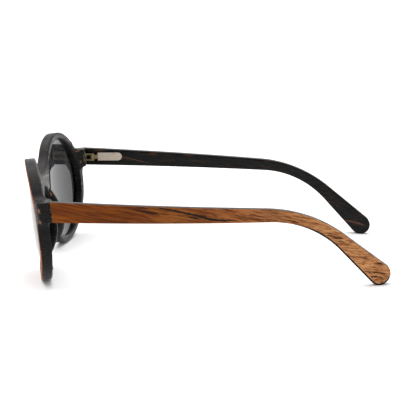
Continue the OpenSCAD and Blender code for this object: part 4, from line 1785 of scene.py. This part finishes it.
    def _lens(self, name: str) -> bpy.types.Object:
        """Makes the left lens, a domed plate held in the rim.

        Args:
            name: the piece's name.

        Returns:
            The lens.
        """
        sizes = self.sizes
        turn = math.asin(sizes.eye_x / sizes.front_r)
        reach = sizes.front_r + self.lens_bulge
        axis = turn - math.radians(self.lens_toe)
        centre = np.array([
            reach * math.sin(turn) - self.lens_r * math.sin(axis),
            sizes.front_r - reach * math.cos(turn) + self.lens_r * math.cos(axis),
        ])
        wide, tall = sizes.lens_w / 2 + self.lens_grip, sizes.lens_h / 2 + self.lens_grip
        round_eye = np.radians(np.arange(0, 360, self.LENS_STEP))
        rings = []
        for radius, first, last in (
            (self.lens_r, self.LENS_HUB, 1.0), (self.lens_r - self.lens_t, 1.0, self.LENS_HUB),
        ):
            for share in np.linspace(first, last, self.LENS_RINGS):
                x = sizes.eye_x + share * wide * np.cos(round_eye)
                z = share * tall * np.sin(round_eye)
                dome = np.sqrt(radius**2 - (x - centre[0]) ** 2 - z**2)
                rings.append(np.stack([x, centre[1] - dome, z], 1))
        shell = Shell()
        shell.loft(rings)
        return smoothed(self._seated(shell, name))

    def _pad(self, name: str) -> bpy.types.Object:
        """Makes the left nose pad, a fin along the back of the rim.

        Args:
            name: the piece's name.

        Returns:
            The pad.
        """
        sizes = self.sizes
        places, shares = np.array(self.PAD_PROFILE).T
        half, root = self.pad_t / 2, -self.pad_root
        splay = math.tan(math.radians(self.pad_splay))
        turn = np.radians(np.linspace(180, 0, self.PAD_STEPS))
        rings = []
        for place in np.linspace(places[0], places[-1], self.PAD_RINGS):
            angle = self.pad_start + place * (self.pad_end - self.pad_start)
            rim, normal = sizes.rim_point(angle, sizes.rim_w / 2), sizes.rim_normal(angle)
            out = self.pad_depth * self._eased(place, places, shares)
            crown = min(half, (out - root) / 2)
            top = np.stack([half * np.cos(turn), out - crown + crown * np.sin(turn)], 1)
            wide, deep = np.concatenate([[[-half, root]], top, [[half, root]]]).T
            rings.append(np.stack([
                rim[0] + wide * normal[0] + np.maximum(deep, 0) * splay,
                sizes.face_y(rim[0]) + sizes.front_t + deep,
                rim[1] + wide * normal[1],
            ], 1))
        shell = Shell()
        shell.loft(rings)
        piece = self._seated(shell, name)
        modifier = piece.modifiers.new("round", "SUBSURF")
        modifier.levels = modifier.render_levels = 1
        return smoothed(settled(piece), self.PAD_CREASE)

    @staticmethod
    def _eased(place: float, places: np.ndarray, shares: np.ndarray) -> float:
        """Reads a smooth curve through a pad's profile.

        Args:
            place: where to read it.
            places: places of the profile's points.
            shares: the depths there.

        Returns:
            The depth.
        """
        slopes = np.gradient(shares, places)
        i = int(np.clip(np.searchsorted(places, place) - 1, 0, len(places) - 2))
        step = places[i + 1] - places[i]
        t = (place - places[i]) / step
        return float(
            (2 * t**3 - 3 * t**2 + 1) * shares[i] + (t**3 - 2 * t**2 + t) * step * slopes[i]
            + (-2 * t**3 + 3 * t**2) * shares[i + 1] + (t**3 - t**2) * step * slopes[i + 1]
        )


@dataclass
class Temple:
    """The two temples, each an ebony core with a rosewood outer face.

    Attributes:
        sizes: the shared sizes.
        run: length of the straight run to the corner of the bend, along the top.
        bow_r: radius of the inward bow.
        bow_start: distance behind the end piece where a temple runs straight back.
        top_fall: fall of the top edge.
        bottom_fall: fall of the bottom edge.
        hook_top_fall: fall of the top edge past the bend.
        hook_bottom_fall: fall of the bottom edge past the bend.
        bend_top_r: radius of the bend along the top edge.
        bend_bottom_r: radius of the bend along the bottom edge.
        tip_r: radius of the round tip.
        butt_gap: gap between a temple's end and the end piece.
        core_gap: the same gap, where the core's end shows in it.
        ease: how far the veneer is eased back from the edges.
        hook_ease: how far it is eased back along the underside of the hook.
        hook_from: distances past the bend's corner where that starts and is full.
        under_from: upward part of the edge's inward direction where that starts and is full.
        inner_round: round on the inner edges.
        core_round: round on the core's edges, next to the veneer.
        face_round: round on the veneer's outer edges.
        pitch: distance between the points of the meshes.
        pockets: room for the hinge at the front end, as low and high corners from the pin.
    """

    sizes: FrameSizes
    run: float = 104.0
    bow_r: float = 431.0
    bow_start: float = 8.0
    top_fall: float = 3.2
    bottom_fall: float = 1.25
    hook_top_fall: float = 38.5
    hook_bottom_fall: float = 47.5
    bend_top_r: float = 57.0
    bend_bottom_r: float = 40.0
    tip_r: float = 4.6
    butt_gap: float = 0.12
    core_gap: float = 0.03
    ease: float = 0.1
    hook_ease: float = 0.8
    hook_from: tuple[float, float] = (4.0, 18.0)
    under_from: tuple[float, float] = (-0.3, 0.8)
    inner_round: float = 0.6
    core_round: float = 0.12
    face_round: float = 0.2
    pitch: float = 1.1
    pockets: tuple[tuple[Vector, Vector], ...] = (
        (Vector((-5, -8, -2.0)), Vector((2.2, 2.8, 2.0))),
        (Vector((-5, 2.7, -1.89)), Vector((2.71, 12.7, 1.89))),
        (Vector((-5, 12.6, -1.2)), Vector((2.71, 14.0, 1.2))),
    )

    # Steps along the bends and round the tip
    BEND_PITCH, TIP_PITCH = 0.7, 0.4

    def outline(self, gap: float) -> Outline:
        """A temple's side outline.

        Args:
            gap: the gap between it and the end piece.

        Returns:
            The outline, as distance back along the bench and height.
        """
        sizes = self.sizes
        end = sizes.butt_y + self.butt_gap
        top = sizes.bench(end, sizes.endpiece_rise + sizes.endpiece_h / 2)
        low = sizes.bench(end, sizes.endpiece_rise - sizes.endpiece_h / 2)
        slope, flat = [math.tan(math.radians(a)) for a in (self.top_fall, self.bottom_fall)]
        hook, under = [math.radians(a) for a in (self.hook_top_fall, self.hook_bottom_fall)]
        corner = top + self.run * np.array([1, -slope])
        # The round tip rests on the bench
        length = (corner[1] - self.tip_r * (1 + math.cos(hook))) / math.sin(hook)
        touch = corner + length * np.array([math.cos(hook), -math.sin(hook)])
        tip = touch - self.tip_r * np.array([math.sin(hook), math.cos(hook)])
        leave = tip - self.tip_r * np.array([math.sin(under), math.cos(under)])
        steep = math.tan(under)
        low_y = (leave[1] - low[1] + leave[0] * steep - low[0] * flat) / (steep - flat)
        low_corner = np.array([low_y, low[1] - (low_y - low[0]) * flat])
        top_bend = self._bend(corner, self.top_fall, self.hook_top_fall, self.bend_top_r)
        low_bend = self._bend(low_corner, self.bottom_fall, self.hook_bottom_fall, self.bend_bottom_r)
        over = arc(top_bend, self.bend_top_r, 90 - self.top_fall, 90 - self.hook_top_fall, self.BEND_PITCH)
        round_tip = arc(tip, self.tip_r, 90 - self.hook_top_fall, -90 - self.hook_bottom_fall, self.TIP_PITCH)
        beneath = arc(
            low_bend, self.bend_bottom_r, 90 - self.hook_bottom_fall, 90 - self.bottom_fall, self.BEND_PITCH)
        for point in (top, low):
            point[0] += gap - self.butt_gap
        return Outline.traced(np.concatenate([
            [top], run(top, over[0]), over, run(over[-1], round_tip[0]), round_tip,
            run(round_tip[-1], beneath[0]), beneath, run(beneath[-1], low), [low], run(low, top),
        ]))

    def _eases(self, outline: Outline) -> np.ndarray:
        """Works out how far the veneer is eased back.

        Args:
            outline: a temple's outline.

        Returns:
            The distance at each of its points.
        """
        start, full = [self.run + distance for distance in self.hook_from]
        hook = smoothstep(start, full, outline.points[:, 0])
        under = smoothstep(*self.under_from, outline.inward[:, 1])
        return self.ease + (self.hook_ease - self.ease) * (hook * under)

    @staticmethod
    def _bend(corner: np.ndarray, start: float, end: float, radius: float) -> np.ndarray:
        """Finds the bend where an edge's fall changes at a corner.

        Args:
            corner: the corner.
            start: the fall before it.
            end: the fall past it.
            radius: the bend's radius.

        Returns:
            The bend's centre.
        """
        first = math.radians(start)
        back = radius * math.tan(math.radians(end - start) / 2)
        return (
            corner - back * np.array([math.cos(first), -math.sin(first)])
            - radius * np.array([math.sin(first), math.cos(first)])
        )

    def build(self, bench: BendTool, finishes: Finishes) -> None:
        """Builds both temples and puts them in place of their nodes.

        Args:
            bench: the bending tool.
            finishes: the materials.
        """
        sizes, outline = self.sizes, self.outline(self.butt_gap)
        mid = sizes.bench(sizes.butt_y, sizes.endpiece_rise)
        seat = dict(
            drum_radius=self.bow_r * MM,
            drum_centre=(mid[0] + self.bow_start) * MM,
            turn=(0.0, 0.0, math.pi / 2),
            offset=(sizes.half_w * MM, -sizes.mid_y * MM, 0.0),
        )
        core = WoodLayer(
            [self.outline(self.core_gap)], sizes.temple_veneer_t, even(sizes.temple_t), self.core_round,
            even(self.inner_round), pitch=self.pitch,
        )
        veneer = WoodLayer(
            [outline.shrunk(self._eases(outline))], 0.0, even(sizes.temple_veneer_t), self.face_round,
            even(0.0), pitch=self.pitch,
        )
        wood = bench.make(
            "left_temple_core_wood", core.shell().mesh("temple_core"), material=finishes.temple_core, **seat)
        carved(wood, [tuple((sizes.pin + c) * MM for c in ends) for ends in self.pockets])
        face = bench.make(
            "left_temple_face_wood", veneer.shell().mesh("temple_face"),
            material=finishes.veneer[Side.LEFT], **seat)
        other_wood = mirrored(wood, "right_temple_core_wood")
        other_face = dressed(mirrored(face, "right_temple_face_wood"), finishes.veneer[Side.RIGHT])
        for side, layers in ((Side.LEFT, (wood, face)), (Side.RIGHT, (other_wood, other_face))):
            body = f"{side.prefix}_temple"
            stand_for(layers[0], body, f"{body}_core")
            stand_for(layers[1], body, f"{body}_veneer")


@dataclass
class Hinge:
    """The two spring hinges, their metal with its edges broken.

    Attributes:
        sizes: the shared sizes.
        edge: width of the edge break on the small pieces.
        housing_edge: width of the edge break on the housing.
        screw_x: place of the leaf screws across from the pin.
        screw_gap: distance between the two screws.
        head_d: diameter of a screw's head.
        head_t: thickness of a screw's head.
        shank_d: diameter of a screw's shank.
        shank_len: length of a screw's shank.
        slot_w: width of a screw's slot.
        slot_d: depth of a screw's slot.
        coil_x: place of the spring across from the pin.
        coil_ends: places of the spring's ends behind the pin.
        coil_d: outer diameter of the spring.
        wire_d: diameter of its wire.
        turns: number of its turns.
        wall_y: place behind the pin of the wall that the spring bears on.
        keep: share of its length that the spring keeps when drawn; not used.
    """

    sizes: FrameSizes
    edge: float = 0.08
    housing_edge: float = 0.22
    screw_x: float = -2.5
    screw_gap: float = 2.1
    head_d: float = 1.4
    head_t: float = 0.35
    shank_d: float = 0.8
    shank_len: float = 3.25
    slot_w: float = 0.25
    slot_d: float = 0.2
    coil_x: float = 1.4
    coil_ends: tuple[float, float] = (7.35, 12.05)
    coil_d: float = 1.36
    wire_d: float = 0.2
    turns: float = 6.0
    wall_y: float = 7.2
    keep: float = 0.8

    # Turn that lays an upright screw or coil along the temple
    TO_BACK = (-math.pi / 2, 0.0, 0.0)

    def build(self, finishes: Finishes, frame: dict) -> None:
        """Builds both hinges and puts them in place of their nodes.

        Args:
            finishes: the materials.
        """
        parts = (
            ("hinge_leaf", "front", "gilt_metal", finishes.gilt, self.edge),
            ("hinge_pin", "front", "steel", finishes.steel, self.edge / 2),
            ("hinge_slider", "slider", "gilt_metal", finishes.gilt, self.edge),
            ("spring_collar", "slider", "steel", finishes.steel, self.edge / 2),
            ("hinge_housing", "temple", "champagne_metal", finishes.champagne, self.housing_edge),
            ("stop_pin", "temple", "champagne_metal", finishes.champagne, self.edge),
        )
        screws, coils = ScrewTool(), CoilTool()
        for side in Side:
            for kind, body, slot, material, edge in parts:
                node = f"{side.prefix}_{kind}"
                piece = dressed(softened(frame["nodes"][node], f"{node}_metal", edge), material)
                stand_for(piece, body if body == "front" else f"{side.prefix}_{body}", node)
            pair = self._screws(screws, side, finishes)
            stand_for(pair, "front", f"{side.prefix}_leaf_screws")
            spring = self._spring(coils, side, finishes)
            stand_for(spring, f"{side.prefix}_temple", f"{side.prefix}_hinge_spring")
            anchor = self._from_pin(side, (self.coil_x, self.wall_y, 0.0))
            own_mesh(spring)

    def _from_pin(self, side: Side, offset: Sequence[float]) -> Vector:
        """A place measured from one side's pin, in metres."""
        place = self.sizes.pin + Vector(offset)
        return Vector((place.x * side.value, place.y, place.z)) * MM

    def _screws(self, tool: ScrewTool, side: Side, finishes: Finishes) -> bpy.types.Object:
        """Makes the two screws of one leaf.

        Args:
            tool: the screw tool.
            side: the leaf's side.
            finishes: the materials.

        Returns:
            The screws, as one piece.
        """
        seats = bpy.data.meshes.new("screw_seats")
        seats.from_pydata([
            self._from_pin(side, (self.screw_x, -self.sizes.pin_back, up * self.screw_gap / 2))
            for up in (-1, 1)
        ], [], [])
        return tool.make(
            f"{side.prefix}_leaf_screws_metal", seats,
            head_radius=self.head_d / 2 * MM, head_depth=self.head_t * MM,
            shank_radius=self.shank_d / 2 * MM, shank_length=self.shank_len * MM,
            slot_width=self.slot_w * MM, slot_depth=self.slot_d * MM,
            turn=self.TO_BACK, material=finishes.steel,
        )

    def _spring(self, tool: CoilTool, side: Side, finishes: Finishes) -> bpy.types.Object:
        """Makes the spring in one housing.

        Args:
            tool: the coil tool.
            side: the housing's side.
            finishes: the materials.

        Returns:
            The spring.
        """
        first, last = self.coil_ends
        return tool.make(
            f"{side.prefix}_hinge_spring_metal", bpy.data.meshes.new("coil"), turns=self.turns,
            coil_radius=(self.coil_d - self.wire_d) / 2 * MM, coil_length=(last - first) * MM,
            wire_radius=self.wire_d / 2 * MM, turn=self.TO_BACK,
            offset=tuple(self._from_pin(side, (self.coil_x, first, 0.0))), material=finishes.steel,
        )


@dataclass
class Studio:
    """White floor, soft light and the camera.

    Attributes:
        eye: the camera's place, in millimetres.
        yaw: its turn from straight across, in degrees.
        pitch: how far it looks down, in degrees.
        roll: its roll, in degrees.
        lens: its focal length on a 36 mm sensor.
        floor_span: length of the floor's sides, in metres.
        floor_tone: the floor's colour.
        floor_rough: its roughness.
        floor_glow: what the floor adds to its own shade where it is seen.
        room: how bright the room behind the camera is, next to the backdrop.
        room_gloss: how bright that room is in reflections.
        room_from: headings towards the camera's side where the room starts and is full.
        top_from: upward headings where the bright top starts and is full.
        lamp: strength of the lamp overhead.
        lamp_spread: how wide that lamp looks from below, in degrees.
        lamp_turn: its turn away from straight overhead, in degrees.
    """

    eye: tuple[float, float, float] = (613.8, 13.8, 150.8)
    yaw: float = 1.2457
    pitch: float = 11.783
    roll: float = -0.5825
    lens: float = 121.8
    floor_span: float = 12.0
    floor_tone: str = "#f8f8f8"
    floor_rough: float = 0.9
    floor_glow: float = 0.03
    room: float = 0.4
    room_gloss: float = 0.1
    room_from: tuple[float, float] = (-0.2, 0.75)
    top_from: tuple[float, float] = (0.35, 0.9)
    lamp: float = 2.4
    lamp_spread: float = 70.0
    lamp_turn: tuple[float, float, float] = (8.0, -10.0, 0.0)

    # The sensor's width in millimetres, and the nearest that the camera sees, in metres
    SENSOR, NEAREST = 36.0, 0.01
    WHITE = (1, 1, 1, 1)

    def build(self) -> None:
        """Builds the studio."""
        self._camera()
        self._floor()
        self._light()
        bpy.context.scene.view_settings.view_transform = "Standard"

    def _camera(self) -> None:
        """Stands the camera where the photograph was taken from."""
        yaw, pitch, roll = (math.radians(a) for a in (self.yaw, self.pitch, self.roll))
        ahead = Vector((-math.cos(yaw) * math.cos(pitch), -math.sin(yaw) * math.cos(pitch), -math.sin(pitch)))
        level = ahead.cross(Vector((0, 0, 1))).normalized()
        upright = level.cross(ahead)
        right = level * math.cos(roll) + upright * math.sin(roll)
        above = upright * math.cos(roll) - level * math.sin(roll)
        data = bpy.data.cameras.new("camera")
        data.lens, data.sensor_width, data.clip_start = self.lens, self.SENSOR, self.NEAREST
        camera = bpy.data.objects.new("camera", data)
        aim = Matrix((right, above, -ahead)).transposed().to_4x4()
        camera.matrix_world = Matrix.Translation(Vector(self.eye) * MM) @ aim
        bpy.context.scene.collection.objects.link(camera)
        bpy.context.scene.camera = camera

    def _floor(self) -> None:
        """Lays a plain white floor, a little brighter to the camera so that it runs into the backdrop."""
        form = bmesh.new()
        bmesh.ops.create_grid(form, x_segments=1, y_segments=1, size=self.floor_span / 2)
        mesh = bpy.data.meshes.new("floor")
        form.to_mesh(mesh)
        form.free()
        floor = placed("floor", mesh)
        material, tree, shader = blank_material("white_paper_floor")
        path = add(tree, "ShaderNodeLightPath").outputs
        seen = self._any(tree, path["Is Camera Ray"], path["Is Transmission Ray"], path["Is Glossy Ray"])
        glow = add(tree, "ShaderNodeMath", {"operation": "MULTIPLY"}, {
            0: seen, 1: self.floor_glow}).outputs[0]
        plug(tree, shader, {
            "Base Color": linear(self.floor_tone), "Roughness": self.floor_rough, "Specular IOR Level": 0.0,
            "Emission Color": self.WHITE, "Emission Strength": glow})
        dressed(floor, material)

    @staticmethod
    def _any(tree: Any, *sockets: Any) -> Any:
        """Adds the nodes for the greatest of several values.

        Args:
            tree: the node tree.
            sockets: the values' sockets.

        Returns:
            The socket of the greatest.
        """
        total = sockets[0]
        for socket in sockets[1:]:
            total = add(tree, "ShaderNodeMath", {"operation": "MAXIMUM"}, {0: total, 1: socket}).outputs[0]
        return total

    def _light(self) -> None:
        """Lights the scene with a bright top and backdrop, a dim room behind the camera and a soft lamp."""
        world = bpy.data.worlds.new("studio")
        bpy.context.scene.world = world
        world.use_nodes = True
        tree = world.node_tree
        background = tree.nodes["Background"]
        path = add(tree, "ShaderNodeLightPath").outputs
        heading = add(tree, "ShaderNodeTexCoord").outputs["Generated"]
        parts = add(tree, "ShaderNodeSeparateXYZ", None, {0: heading}).outputs
        dim = add(tree, "ShaderNodeMapRange", None, {
            "Value": path["Is Glossy Ray"], "To Min": self.room, "To Max": self.room_gloss}).outputs[0]
        room = add(tree, "ShaderNodeMapRange", None, {
            "Value": parts[0], "From Min": self.room_from[0], "From Max": self.room_from[1],
            "To Min": 1.0, "To Max": dim}).outputs[0]
        top = add(tree, "ShaderNodeMapRange", None, {
            "Value": parts[2], "From Min": self.top_from[0], "From Max": self.top_from[1]}).outputs[0]
        level = self._any(tree, room, top, path["Is Camera Ray"], path["Is Transmission Ray"])
        plug(tree, background, {"Color": self.WHITE, "Strength": level})
        data = bpy.data.lights.new("softbox", "SUN")
        data.energy = self.lamp
        data.angle = math.radians(self.lamp_spread)
        lamp = bpy.data.objects.new("softbox", data)
        lamp.rotation_euler = [math.radians(a) for a in self.lamp_turn]
        bpy.context.scene.collection.objects.link(lamp)


def main() -> None:
    """Builds the sunglasses and their studio."""
    logging.basicConfig(level=logging.INFO, format="%(name)s: %(message)s")
    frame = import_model()
    sizes = FrameSizes()
    Studio().build()
    finishes = Finishes.mixed()
    bench = BendTool()
    Front(sizes).build(bench, finishes)
    Temple(sizes).build(bench, finishes)
    Hinge(sizes).build(finishes, frame)


if __name__ == "__main__":
    main()
